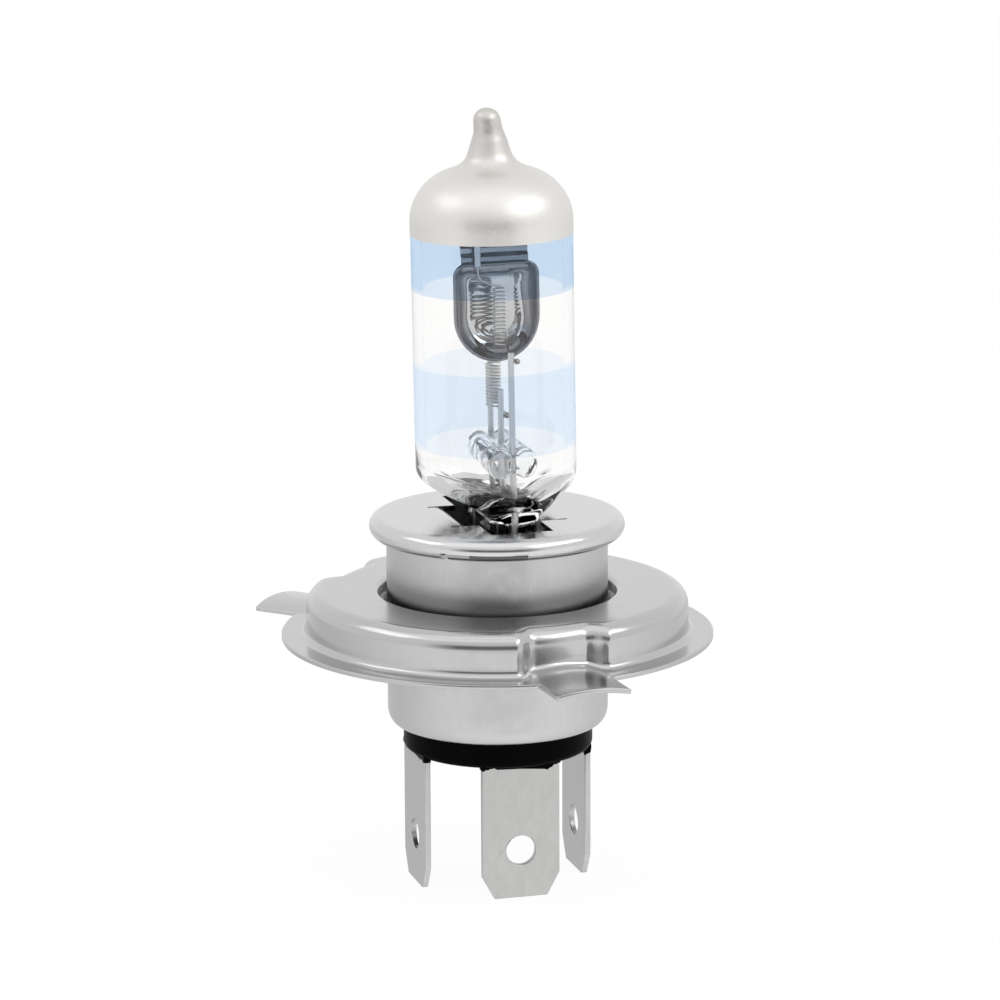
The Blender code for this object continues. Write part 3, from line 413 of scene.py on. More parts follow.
def bridge_outline(count=72):
    """Points (x, z) round two lobes joined at a waist."""
    middle, half_width, half_height = BRIDGE_LOBE
    reach = middle + half_width
    for index in range(count):
        angle = TAU * index / count
        x = reach * math.cos(angle)
        lobe = max(1 - ((abs(x) - middle) / half_width) ** 2, 0.0) ** 0.5 * half_height
        waist = BRIDGE_WAIST * max(1 - (x / reach) ** 2, 0.0) ** 0.5
        height = (lobe ** 4 + waist ** 4) ** 0.25
        yield x, math.copysign(height, math.sin(angle)) if index % (count // 2) else 0.0


def build_bridge():
    stations = []
    for degrees in (6, 18, 32, 46, 60, 75, 90):
        angle = math.radians(degrees)
        stations.append((BRIDGE_END * (1 - math.cos(angle)), math.sin(angle)))
    length = BRIDGE_BACK - BRIDGE_FRONT
    straight = 36
    middle = [(BRIDGE_END + (length - 2 * BRIDGE_END) * k / straight, 1.0)
              for k in range(1, straight)]
    ends = [(length - y, share) for y, share in reversed(stations)]
    bm = bmesh.new()
    loops = []
    for y, share in stations + middle + ends:
        shrink = 0.35 + 0.65 * share
        loop = []
        for x, z in bridge_outline():
            point = Vector((x * shrink, BRIDGE_FRONT + y, BRIDGE_HEIGHT + z * share))
            wobble = noise.noise_vector(point * 700) * 0.045 * MM
            loop.append(bm.verts.new(point + wobble))
        loops.append(loop)
    skin(bm, loops)
    return finished("quartz_bridge_fine", bm, 60.0, LEAD_FRAME)


quartz = shaded("quartz", Base_Color=(0.985, 0.992, 1.0, 1.0), IOR=1.46, Transmission_Weight=1.0)
grain(quartz, 700.0, (0.0, 0.03), 0.008 * MM)
add_piece("quartz_bridge_fine", build_bridge(), quartz, "quartz_bridge", "bridge_rod_left",
          "bridge_rod_right")

# --- Glare shield ----------------------------------------------------------
# A deep-drawn pan of polished molybdenum behind the dipped filament, which keeps its light off
# the lower half of the reflector. A stepped tab carries on above its rim, under the coat.
SHIELD_WIDTH = 8.3 * MM
SHIELD_BOTTOM = 27.0 * MM
SHIELD_TOP = 36.5 * MM
SHIELD_DEPTH = 2.6 * MM
SHIELD_SHEET = 0.25 * MM
SHIELD_SHIFT = -0.15 * MM
SHIELD_WALL_RUN = 3.2 * MM
SHIELD_TILT = 0.09                      # of the pan's floor, which leans back at the top
SHIELD_CORNER = 1.1 * MM
HEAT_TINT_AND_SHADE = (0.38, 0.38, 0.42)          # bluish heat tint on the rim and walls, darkened further as painted shade for their dark reflections
TAB_WIDTH = 6.8 * MM
TAB_STEPS = ((0.6, -0.6), (0.6, 0.7), (0.66, 0.86), (0.9, 1.02), (0.92, 1.2), (0.92, 1.62),
             (0.97, 1.78), (1.2, 1.92), (1.24, 2.1), (1.24, 3.6))


def pan_outline(inset):
    """Points (x, z) round the pan, drawn in from its rim by inset."""
    half = SHIELD_WIDTH / 2 - inset
    top = SHIELD_TOP - inset
    bottom = SHIELD_BOTTOM + inset
    side_end = bottom + half * 1.05
    corner = min(SHIELD_CORNER, half * 0.7)
    side = [side_end + (top - corner - side_end) * share for share in (0.25, 0.5, 0.75)]
    turns = [math.pi / 2 * step / 8 for step in range(9)]
    arc = [(corner * math.cos(angle), corner * math.sin(angle)) for angle in turns]
    points = [(half * math.cos(math.pi * step / 48),
               side_end - (side_end - bottom) * math.sin(math.pi * step / 48))
              for step in range(49)]
    points += [(-half, z) for z in side]
    points += [(-half + corner - x, top - corner + z) for x, z in arc]
    points += [(-half + corner + (half - corner) * step / 6, top) for step in range(1, 12)]
    points += [(half - corner + x, top - corner + z) for x, z in reversed(arc)]
    points += [(half, z) for z in reversed(side)]
    return points


def build_shield():
    bm = bmesh.new()
    loops = []
    wall_steps = 24
    middle = (SHIELD_BOTTOM + SHIELD_TOP) / 2
    for step in range(wall_steps + 1):
        share = step / wall_steps
        depth = SHIELD_DEPTH * (0.93 * (1 - (1 - share) ** 3.2) + 0.07 * share)
        tilt = SHIELD_TILT * min(1.0, 2 * share)
        loops.append([bm.verts.new((x + SHIELD_SHIFT, depth + tilt * (z - middle), z))
                      for x, z in pan_outline(SHIELD_WALL_RUN * share)])
    skin(bm, loops, close_first=False)
    rows = [[bm.verts.new((x * TAB_WIDTH / 2 + SHIELD_SHIFT, y * MM, SHIELD_TOP + z * MM))
             for x in (-1.0, -0.5, 0.0, 0.5, 1.0)] for y, z in TAB_STEPS]
    for lower, upper in zip(rows, rows[1:]):
        for i in range(4):
            bm.faces.new((lower[i], lower[i + 1], upper[i + 1], upper[i]))
    for face in bm.faces:
        face.normal_update()
        if face.normal.y > 0:
            face.normal_flip()
    return finished("glare_shield_fine", bm, 50.0, LEAD_FRAME)


def object_parts(tree):
    """The three object coordinates."""
    place = add_node(tree, "ShaderNodeTexCoord", out="Object")
    return add_node(tree, "ShaderNodeSeparateXYZ", {"Vector": place}).outputs


def darkened(material, mask, color):
    """Multiplies the base colour by color where the mask, a socket from 0 to 1, is 1."""
    tree, base = material.node_tree, shader_of(material).inputs["Base Color"]
    tree.links.new(blend(tree, mask, base.links[0].from_socket, color, "MULTIPLY"), base)


polished = metal("polished_molybdenum", 300.0, (0.02, 0.06), 0.02 * MM,
                 ((0.46, 0.47, 0.50), (0.66, 0.655, 0.645)), (1.0, 1.0, 0.5))
# Heat tint and painted shade: the rim and walls are darker than the pan's floor, for the dark
# reflections in them.
rim_tint_and_shade = ramp(polished.node_tree, object_parts(polished.node_tree)["Y"],
                 SHIELD_DEPTH * 0.75, SHIELD_DEPTH * 0.1, interpolation="SMOOTHSTEP")
darkened(polished, rim_tint_and_shade, HEAT_TINT_AND_SHADE)
shield = add_piece("glare_shield_fine", build_shield(), polished, "shield_steel", "glare_shield")


def soften(piece, width, segments=2):
    """A fine round edge."""
    softened = piece.modifiers.new("edge", "BEVEL")
    softened.width = width
    softened.segments = segments
    softened.limit_method = "ANGLE"
    softened.angle_limit = math.radians(50)


def sheet_metal(piece, thickness, edge):
    """Gives a surface its thickness, inwards, and a fine round edge."""
    solid = piece.modifiers.new("sheet", "SOLIDIFY")
    solid.thickness = thickness
    solid.offset = -1.0
    solid.use_even_offset = True
    soften(piece, edge)


sheet_metal(shield, SHIELD_SHEET, 0.05 * MM)

# --- Filaments -------------------------------------------------------------
# Each filament is one drawn tungsten wire wound into an upright coil, with a tail at each end.
# A blob of weld holds the front tail to its post; the dipped one's other tail hangs in a crimp.
WIRE_RADIUS = 0.08 * MM
BEAD_RADIUS = 0.28 * MM
BEAD_GAP = POST_RADIUS + BEAD_RADIUS + 0.02 * MM
DIPPED_BEAD_HEIGHT = 27.6 * MM
MAIN_BEAD_HEIGHT = 21.35 * MM
DIPPED_COIL = {"radius": 0.56 * MM, "foot": Vector((0, 0, 28.5)) * MM, "length": 5.6 * MM,
               "turns": 15.0}
MAIN_COIL = {"radius": 0.72 * MM, "foot": Vector((-0.45, 1.13, 22.15)) * MM,
             "length": 4.3 * MM, "turns": 13.0}
CRIMP_FOOT = Vector((-2.2, -0.65, 36.5)) * MM
CRIMP_RADIUS = 0.3 * MM
CRIMP_BORE = 0.14 * MM
CRIMP_LENGTH = 2.1 * MM
CRIMP_PINCH = (0.35, 0.9 * MM, 0.45 * MM)           # how much, its height, its spread

dipped_bead = Vector((BEAD_GAP, -POST_SPACING, DIPPED_BEAD_HEIGHT))
main_bead = Vector((BEAD_GAP, 0.0, MAIN_BEAD_HEIGHT))
dipped_start = DIPPED_COIL["foot"] + Vector((DIPPED_COIL["radius"], 0, 0))
dipped_end = dipped_start + Vector((0, 0, DIPPED_COIL["length"]))
main_start = MAIN_COIL["foot"] + Vector((MAIN_COIL["radius"], 0, 0))
main_end = main_start + Vector((0, 0, MAIN_COIL["length"]))
dipped_tails = [
    eased([dipped_bead, dipped_bead + Vector((0, 0.6, 0.0)) * MM,
           dipped_bead + Vector((0, 1.7, 0.1)) * MM,
           dipped_start + Vector((0.1, -1.2, -0.45)) * MM, dipped_start], 6),
    eased([dipped_end, dipped_end + Vector((-0.45, -0.1, 0.22)) * MM,
           dipped_end + Vector((-1.4, -0.45, 0.45)) * MM, CRIMP_FOOT + Vector((0.25, 0, -1.3)) * MM,
           CRIMP_FOOT + Vector((0, 0, -0.4)) * MM, CRIMP_FOOT + Vector((0, 0, 1.0)) * MM], 6)]
main_tails = [
    eased([main_bead, main_bead + Vector((-0.02, 0.5, 0.1)) * MM,
           main_bead + Vector((-0.1, 0.85, 0.3)) * MM, main_start], 6),
    eased([main_end, main_end + Vector((0.1, 0.9, 0.25)) * MM,
           Vector((0.35, 4.2, 26.65)) * MM], 6)]

tungsten = metal("tungsten", 4000.0, (0.28, 0.45), 0.002 * MM,
                 ((0.50, 0.49, 0.48), (0.68, 0.67, 0.65)))
for coil, tails, name in ((DIPPED_COIL, dipped_tails, "dipped_filament"),
                          (MAIN_COIL, main_tails, "main_filament")):
    filament = run_nodes(f"{name}_fine", path_mesh(name, tails), WIRE_TREE,
                         {"Wire Radius": WIRE_RADIUS, "Sides": 10, "Finish": tungsten,
                          "Coil Radius": coil["radius"], "Coil Length": coil["length"],
                          "Turns": coil["turns"], "Coil Foot": coil["foot"]})
    filament.transform(LEAD_FRAME)
    add_piece(f"{name}_fine", filament, tungsten, "tungsten", name)


def blob(name, center, radius, seed):
    """A lumpy bead of metal that has run and set."""
    bm = bmesh.new()
    bmesh.ops.create_icosphere(bm, subdivisions=4, radius=radius)
    for vert in bm.verts:
        swell = noise.noise(vert.co / radius * 1.3 + Vector((seed, 0, 0)))
        vert.co = center + vert.co * (1 + 0.22 * swell)
    return finished(name, bm, 80.0, LEAD_FRAME)


weld_metal = metal("weld_metal", 3500.0, (0.3, 0.55), 0.01 * MM,
                   ((0.20, 0.17, 0.15), (0.45, 0.42, 0.39)))
for bead, name, seed in ((dipped_bead, "dipped_weld", 3.0), (main_bead, "main_weld", 8.0)):
    add_piece(f"{name}_fine", blob(f"{name}_fine", bead, BEAD_RADIUS, seed), weld_metal,
              "tungsten", name)


def lathe(name, profile, segments, closed, sharp=35.0):
    """A profile of (r, z) points turned about the axis; ends on the axis close in a pole."""
    bm = bmesh.new()
    loops = []
    for r, z in profile:
        if r <= 0:
            loops.append([bm.verts.new((0, 0, z))])
            continue
        loops.append([bm.verts.new((r * math.cos(TAU * i / segments),
                                    r * math.sin(TAU * i / segments), z))
                      for i in range(segments)])
    pairs = list(zip(loops, loops[1:]))
    if closed:
        pairs.append((loops[-1], loops[0]))
    for upper, lower in pairs:
        for i in range(segments):
            j = (i + 1) % segments
            corners = [upper[i % len(upper)], lower[i % len(lower)], lower[j % len(lower)],
                       upper[j % len(upper)]]
            bm.faces.new(list(dict.fromkeys(corners)))
    bmesh.ops.recalc_face_normals(bm, faces=bm.faces)
    return finished(name, bm, sharp)


crimp = lathe("filament_crimp_fine",
              [(CRIMP_RADIUS, CRIMP_LENGTH), (CRIMP_RADIUS, 0.05 * MM),
               (CRIMP_RADIUS - 0.05 * MM, 0.0), (CRIMP_BORE, 0.0), (CRIMP_BORE, CRIMP_LENGTH)],
              32, True)
pinch, pinch_height, pinch_spread = CRIMP_PINCH
for vertex in crimp.vertices:
    flat = 1 - pinch * math.exp(-((vertex.co.z - pinch_height) / pinch_spread) ** 2)
    vertex.co.y *= flat
    vertex.co.x *= 2 - flat if flat < 1 else 1
crimp.transform(LEAD_FRAME @ Matrix.Translation(CRIMP_FOOT))
add_piece("filament_crimp_fine", crimp, nickel, "nickel_wire", "filament_crimp")

# --- Glass envelope --------------------------------------------------------
# One piece of hard glass tube: domed and drawn to an exhaust tip above, squeezed flat onto the
# foils below, where the funnel and the solid pinch have the uneven skin of pressed glass.
GLASS_RADIUS = 7.95 * MM
GLASS_WALL = 1.0 * MM
CAVITY_RADIUS = GLASS_RADIUS - GLASS_WALL
SHOULDER_HEIGHT = 16.6 * MM
FUNNEL_DEPTH = 5.0 * MM
PINCH_BOTTOM = 2.0 * MM
PINCH_HALF_X = 2.35 * MM
PINCH_HALF_Y = 5.95 * MM
FUNNEL_SLOPE = 1.35
FUNNEL_SKIN = 0.22 * MM                 # how far pressed glass strays from its shape
PINCH_SKIN = 0.12 * MM
CAVITY_SKIN = 0.3 * MM
CAVITY_DEPTH = 3.75 * MM
DOME_BASE = 40.75 * MM
DOME_HEIGHT = 5.3 * MM
DOME_EDGE_RADIUS = 5.5 * MM
DOME_JOIN = math.radians(76)
NECK_FLARE = 0.75 * MM
TIP_HEIGHT = 51.84 * MM
TIP_RADIUS = 1.27 * MM
NECK_SHAPE = ((1.30, 1.27), (2.0, 1.33), (2.5, 1.43), (3.1, 1.62), (3.65, 1.74), (4.3, 1.82),
              (5.95, 1.85))              # depth below the tip, radius before it flares
NECK_DRIFT = ((0.0, -0.29), (0.6, -0.28), (1.2, -0.25), (1.8, -0.18), (2.4, -0.09), (3.0, -0.06),
              (4.2, -0.08), (4.8, -0.03), (5.9, 0.0))
FLARE_FOOT = DOME_BASE + DOME_HEIGHT * math.sin(DOME_JOIN)


def smooth_step(low, high, value):
    share = min(max((value - low) / (high - low), 0.0), 1.0)
    return share * share * (3 - 2 * share)


def dome_profile(offset):
    """(r, z) from the exhaust tip down to the tube, standing off the glass by offset."""
    edge_center = GLASS_RADIUS - DOME_EDGE_RADIUS
    join_radius = edge_center + DOME_EDGE_RADIUS * math.cos(DOME_JOIN)
    neck = eased([(r * MM, depth * MM, 0) for depth, r in NECK_SHAPE], 5)
    points = []
    for degrees in range(85, 5, -8):
        angle = math.radians(degrees)
        points.append((TIP_RADIUS * math.cos(angle),
                       TIP_HEIGHT - TIP_RADIUS + TIP_RADIUS * math.sin(angle)))
    for radius, depth, _ in neck:
        height = TIP_HEIGHT - depth
        flare = math.exp((FLARE_FOOT - height) / NECK_FLARE)
        points.append((radius + (join_radius - neck[-1].x) * flare, height))
    for step in range(1, 25):
        angle = DOME_JOIN * (1 - step / 24)
        points.append((edge_center + DOME_EDGE_RADIUS * math.cos(angle),
                       DOME_BASE + DOME_HEIGHT * math.sin(angle)))
    return [(r + offset, z + offset * (z > DOME_BASE)) for r, z in points]


def tip_center(z):
    """Sideways drift of the neck, which was drawn off by hand heat."""
    depth = (TIP_HEIGHT - z) / MM
    for (high, start), (low, end) in zip(NECK_DRIFT, NECK_DRIFT[1:]):
        if depth < low:
            share = max((depth - high) / (low - high), 0.0)
            return (start + (end - start) * share * share * (3 - 2 * share)) * MM
    return 0.0


def level_loop(bm, half_x, half_y, z, exponent=2.0, count=96, roughness=0.0, seed=0.0, shift=0.0):
    """A level loop of vertices round the burner's axis, or shifted from it."""
    loop = []
    for x, y in oval(half_x, half_y, exponent, count):
        point = Vector((x + tip_center(z) + shift, y, z))
        if roughness:
            point += noise.noise_vector(point * 420 + Vector((seed, 0, 0))) * roughness
        loop.append(bm.verts.new(point))
    return loop


def build_envelope():
    bm = bmesh.new()
    loops = [level_loop(bm, r, r, z) for r, z in dome_profile(0.0)]
    for step in range(1, 13):
        z = DOME_BASE + (SHOULDER_HEIGHT - DOME_BASE) * step / 12
        loops.append(level_loop(bm, GLASS_RADIUS, GLASS_RADIUS, z))
    for step in range(1, 29):
        share = step / 28
        flat = smooth_step(0.0, 1.0, share ** FUNNEL_SLOPE)
        half_x = GLASS_RADIUS + (PINCH_HALF_X - GLASS_RADIUS) * flat
        half_y = GLASS_RADIUS + (PINCH_HALF_Y - GLASS_RADIUS) * share ** 1.5
        loops.append(level_loop(bm, half_x, half_y, SHOULDER_HEIGHT - FUNNEL_DEPTH * share,
                                2.0 + 3.0 * share ** 2, roughness=FUNNEL_SKIN * share,
                                shift=LEAD_FRAME_OFFSET * smooth_step(0.0, 1.0, share)))
    for step in range(1, 7):
        z = CAP_TOP + (PINCH_BOTTOM - CAP_TOP) * step / 6
        loops.append(level_loop(bm, PINCH_HALF_X, PINCH_HALF_Y, z, 5.0, roughness=PINCH_SKIN,
                                shift=LEAD_FRAME_OFFSET))
    skin(bm, loops)

    top = FLARE_FOOT - GLASS_WALL
    loops = []
    for degrees in range(86, -1, -6):
        angle = math.radians(degrees)
        radius = CAVITY_RADIUS * math.cos(angle) ** 0.7
        loops.append(level_loop(bm, radius, radius, top - DOME_HEIGHT * (1 - math.sin(angle))))
    for step in range(1, 13):
        z = top - DOME_HEIGHT + (SHOULDER_HEIGHT - top + DOME_HEIGHT) * step / 12
        loops.append(level_loop(bm, CAVITY_RADIUS, CAVITY_RADIUS, z))
    for step in range(1, 25):
        share = step / 25
        angle = share * math.pi / 2
        half_x = CAVITY_RADIUS * math.cos(angle) ** 1.5
        half_y = max(CAVITY_RADIUS * math.cos(angle) ** 0.6, POST_SPACING + 0.4 * MM)
        z = SHOULDER_HEIGHT - CAVITY_DEPTH * math.sin(angle)
        loops.append(level_loop(bm, half_x, half_y, z, roughness=CAVITY_SKIN * share, seed=5.0,
                                shift=LEAD_FRAME_OFFSET * share))
    bmesh.ops.reverse_faces(bm, faces=skin(bm, loops))
    return finished("glass_envelope_fine", bm, 60.0, BURNER_FRAME)


glass = shaded("hard_glass", Base_Color=(0.985, 0.985, 0.98, 1.0), IOR=1.47,
               Transmission_Weight=1.0)
grain(glass, 260.0, (0.0, 0.008), 0.004 * MM)
add_piece("glass_envelope_fine", build_envelope(), glass, "clear_glass", "glass_envelope")

# --- Silver top coat -------------------------------------------------------
# Satin aluminium lacquer over the dome and the exhaust tip, dipped on to a level edge. It is
# warm in tone and has a fine pearly grain.
SILVER_EDGE = 39.6 * MM
COAT_GAP = 0.02 * MM
COAT_THICKNESS = 0.05 * MM
TIP_SHADE = (0.80, 0.795, 0.79)          # painted shade: the lacquer darkened towards the exhaust tip
TIP_SHADE_HEIGHTS = (44 * MM, 50 * MM)


def build_top_coat():
    bm = bmesh.new()
    loops = []
    for offset in (COAT_GAP + COAT_THICKNESS, COAT_GAP):
        profile = dome_profile(offset)
        profile += [(GLASS_RADIUS + offset, DOME_BASE + (SILVER_EDGE - DOME_BASE) * step / 3)
                    for step in (1, 2, 3)]
        layer = [level_loop(bm, r, r, z, count=128) for r, z in profile]
        loops += layer if not loops else list(reversed(layer))
    skin(bm, loops)
    return finished("silver_top_coat_fine", bm, 60.0, BURNER_FRAME)


silver = shaded("silver_lacquer", Metallic=0.8)
grain(silver, 2600.0, (0.34, 0.46), 0.008 * MM, ((0.66, 0.645, 0.622), (0.75, 0.735, 0.71)))
# Painted shade: the lacquer is darkened towards the exhaust tip.
tip_shade_share = ramp(silver.node_tree, object_parts(silver.node_tree)["Z"], *TIP_SHADE_HEIGHTS,
                 interpolation="SMOOTHSTEP")
darkened(silver, tip_shade_share, TIP_SHADE)
add_piece("silver_top_coat_fine", build_top_coat(), silver, "silver_coat", "silver_top_coat")

# --- Blue bands ------------------------------------------------------------
# Two bands of a pale blue interference filter on the tube, one under the silver edge and one
# below a clear window. The film is far thinner than it is drawn and doesn't bend light.
BLUE_BANDS = {"blue_band_upper": ((34.25 * MM, 39.58 * MM), (0.755, 0.845, 0.945)),
              "blue_band_lower": ((18.7 * MM, 26.8 * MM), (0.868, 0.922, 0.985))}
INNER = GLASS_RADIUS + COAT_GAP
OUTER = INNER + COAT_THICKNESS / 2

for name, ((low, high), tint) in BLUE_BANDS.items():
    blue = shaded(f"{name}_film", Metallic=0.0, IOR=1.0, Transmission_Weight=1.0, Roughness=0.0)
    tree = blue.node_tree
    place = add_node(tree, "ShaderNodeTexCoord", out="Object")
    clouds = add_node(tree, "ShaderNodeTexNoise", {"Vector": place, "Scale": 120.0, "Detail": 2.0},
                      "Fac")
    tree.links.new(blend(tree, clouds, tint, [part + 0.012 for part in tint]),
                   shader_of(blue).inputs["Base Color"])
    band = lathe(f"{name}_fine", [(OUTER, high), (OUTER, low), (INNER, low), (INNER, high)],
                 128, True)
    band.transform(BURNER_FRAME)
    add_piece(f"{name}_fine", band, blue, "blue_coat", name)

# --- Holder cap ------------------------------------------------------------
# A stamped stainless disc whose edge is curled under over the sleeve. A slot lets the pinch
# through, and two tongues, slit free at their sides, are bent down to grip it.
SHEET = 0.4 * MM
CAP_RADIUS = 12.68 * MM
CAP_EDGE_HEIGHT = 2.15 * MM
CURL_END_RADIUS = 11.1 * MM
DISC_RINGS = (6.0 * MM, 11.0 * MM)      # of vertices in the flat of the disc
SLOT_HALF_X = 3.15 * MM
SLOT_HALF_Y = 9.0 * MM
TONGUE_HALF_WIDTH = 4.25 * MM
TONGUE_ROOT = 5.35 * MM
TONGUE_OVERLAP = 0.5 * MM
TONGUE_BEND = 1.6 * MM
TONGUES = ((-1, 80, 1.3 * MM), (1, 48, 1.4 * MM))    # side, how far bent, length of the flat end
SLIT_REACH = 5.9 * MM
SLIT_WIDTH = 0.35 * MM
SKIRT_CUTS = ((math.radians(-105.2), 5.7 * MM, 9.55 * MM, 10.05 * MM),
              (math.radians(-130.5), 0.7 * MM, 9.2 * MM, 10.1 * MM))    # angle, width, low, high
SKIRT_DEPTHS = (11.2 * MM, 13.5 * MM)
TONGUE_SHADE = (0.16, 0.16, 0.17)          # painted shade on the tongues, down in the slot under the disc


def fillet(center, radius, start_degrees, end_degrees, steps):
    """Points (r, z) along a round edge of a profile."""
    for step in range(steps + 1):
        angle = math.radians(start_degrees + (end_degrees - start_degrees) * step / steps)
        yield (center[0] + radius * math.cos(angle), center[1] + radius * math.sin(angle))


def bar(low, high, turn=0.0):
    """A cutter: a box between two corners, turned about the axis."""
    bm = bmesh.new()
    bmesh.ops.create_cube(bm, size=1.0)
    size = Vector(high) - Vector(low)
    bmesh.ops.scale(bm, vec=size, verts=bm.verts)
    bmesh.ops.translate(bm, vec=(Vector(high) + Vector(low)) / 2, verts=bm.verts)
    bmesh.ops.rotate(bm, matrix=Matrix.Rotation(turn, 3, "Z"), verts=bm.verts)
    return mesh_of("cutter", bm)


def carved(mesh, tools):
    """The mesh after each (operation, tool mesh) in turn."""
    body = added("body", mesh)
    helpers = []
    for operation, tool in tools:
        helper = added("tool", tool)
        modifier = body.modifiers.new("cut", "BOOLEAN")
        modifier.operation = operation
        modifier.object = helper
        modifier.solver = "EXACT"
        helpers.append(helper)
    graph = bpy.context.evaluated_depsgraph_get()
    result = bpy.data.meshes.new_from_object(body.evaluated_get(graph))
    for used in [body] + helpers:
        bpy.data.objects.remove(used, do_unlink=True)
    result.shade_smooth()
    result.set_sharp_from_angle(angle=math.radians(35))
    return result


def tongue(side, bend, length):
    """One tongue: a flat root that rolls down towards the pinch."""
    middle = [(TONGUE_ROOT + TONGUE_OVERLAP, 0.0), (TONGUE_ROOT, 0.0)]
    for degrees in range(8, bend + 1, 8):
        angle = math.radians(degrees)
        middle.append((TONGUE_ROOT - TONGUE_BEND * math.sin(angle),
                       -TONGUE_BEND * (1 - math.cos(angle))))
    middle.append((middle[-1][0] - length * math.cos(angle),
                   middle[-1][1] - length * math.sin(angle)))
    half = SHEET / 2
    bm = bmesh.new()
    rows = []
    for index, (x, z) in enumerate(middle):
        before = middle[max(index - 1, 0)]
        after = middle[min(index + 1, len(middle) - 1)]
        along = Vector((after[0] - before[0], after[1] - before[1])).normalized()
        across = Vector((along.y, -along.x)) * half
        rows.append([bm.verts.new((side * (x + sign * across.x), y * TONGUE_HALF_WIDTH,
                                   CAP_TOP - half + z + sign * across.y))
                     for sign, y in ((1, -1), (1, 1), (-1, 1), (-1, -1))])
    skin(bm, rows)
    return mesh_of("tongue", bm)


def build_cap():
    edge = CAP_EDGE_HEIGHT / 2
    center = (CAP_RADIUS - edge, CAP_TOP - edge)
    low = CAP_TOP - CAP_EDGE_HEIGHT
    profile = [(r, CAP_TOP) for r in (0.0, *DISC_RINGS)]
    profile += list(fillet(center, edge, 90, -90, 20))
    profile += [(CURL_END_RADIUS, low), (CURL_END_RADIUS, low + SHEET)]
    profile += list(fillet(center, edge - SHEET, -90, 90, 14))
    profile += [(r, CAP_TOP - SHEET) for r in (*reversed(DISC_RINGS), 0.0)]
    disc = lathe("holder_cap_fine", profile, 192, False)
    under, over = CAP_TOP - 2 * SHEET, CAP_TOP + SHEET
    tools = [("DIFFERENCE", bar((-SLOT_HALF_X, -SLOT_HALF_Y, under),
                                (SLOT_HALF_X, SLOT_HALF_Y, over))),
             ("DIFFERENCE", bar((-TONGUE_ROOT, -TONGUE_HALF_WIDTH, under),
                                (TONGUE_ROOT, TONGUE_HALF_WIDTH, over)))]
    for turn in (0.0, math.pi):
        for y in (-1, 1):
            slit = y * (TONGUE_HALF_WIDTH + SLIT_WIDTH / 2)
            tools.append(("DIFFERENCE", bar((0, slit - SLIT_WIDTH / 2, under),
                                            (SLIT_REACH, slit + SLIT_WIDTH / 2, over), turn)))
    for angle, width, bottom, top in SKIRT_CUTS:
        tools.append(("DIFFERENCE", bar((SKIRT_DEPTHS[0], -width / 2, bottom),
                                        (SKIRT_DEPTHS[1], width / 2, top), angle)))
    tools += [("UNION", tongue(*sizes)) for sizes in TONGUES]
    return carved(disc, tools)


def from_axis(tree):
    """The distance from the bulb's axis."""
    place = add_node(tree, "ShaderNodeTexCoord", out="Object")
    flat = add_node(tree, "ShaderNodeVectorMath", {0: place, 1: (1.0, 1.0, 0.0)}, "Vector",
                    operation="MULTIPLY")
    return add_node(tree, "ShaderNodeVectorMath", {0: flat}, "Value", operation="LENGTH")


stamped = metal("stamped_steel", 1400.0, (0.13, 0.2), 0.0015 * MM,
                ((0.56, 0.56, 0.56), (0.62, 0.62, 0.62)))
tree = stamped.node_tree
# Painted shade: the tongues, bent down into the slot below the disc's top, are darkened.
below = ramp(tree, object_parts(tree)["Z"], CAP_TOP - 0.25 * MM, CAP_TOP - 0.9 * MM,
             interpolation="SMOOTHSTEP")
inside = ramp(tree, from_axis(tree), 9.0 * MM, 8.0 * MM)
tongue_shade_share = add_node(tree, "ShaderNodeMath", {0: below, 1: inside}, "Value", operation="MULTIPLY")
darkened(stamped, tongue_shade_share, TONGUE_SHADE)
add_piece("holder_cap_fine", build_cap(), stamped, "stamped_steel", "holder_cap")

# --- Base sleeve -----------------------------------------------------------
# A drawn stainless tube from under the cap down through the ring, its lower edge rolled in over
# the insulator. The drawing die has left fine scratches along it.
SLEEVE_RADIUS = 11.0 * MM
SLEEVE_BOTTOM = -9.54 * MM
SLEEVE_TOP = 10.75 * MM
ROLL_HEIGHT = 1.5 * MM
ROLL_INSET = 0.85 * MM
STREAKS = (260.0, 350.0)                # per radian round the sleeve, per metre up it
SCRATCH_DEPTH = 0.0025 * MM
# Painted shade on the sleeve: darkest in the gap inside the ring's neck and just above the collar,
# faint under the cap's edge.
SLEEVE_SHADE = ((0.0, 0.0), (0.45, 0.0), (0.58, 1.0), (0.70, 0.85), (0.80, 0.2), (0.92, 0.1),
         (1.0, 0.15))                   # share of the height, darkness of the painted shade
SLEEVE_SHADE_TINT = (0.42, 0.42, 0.42)


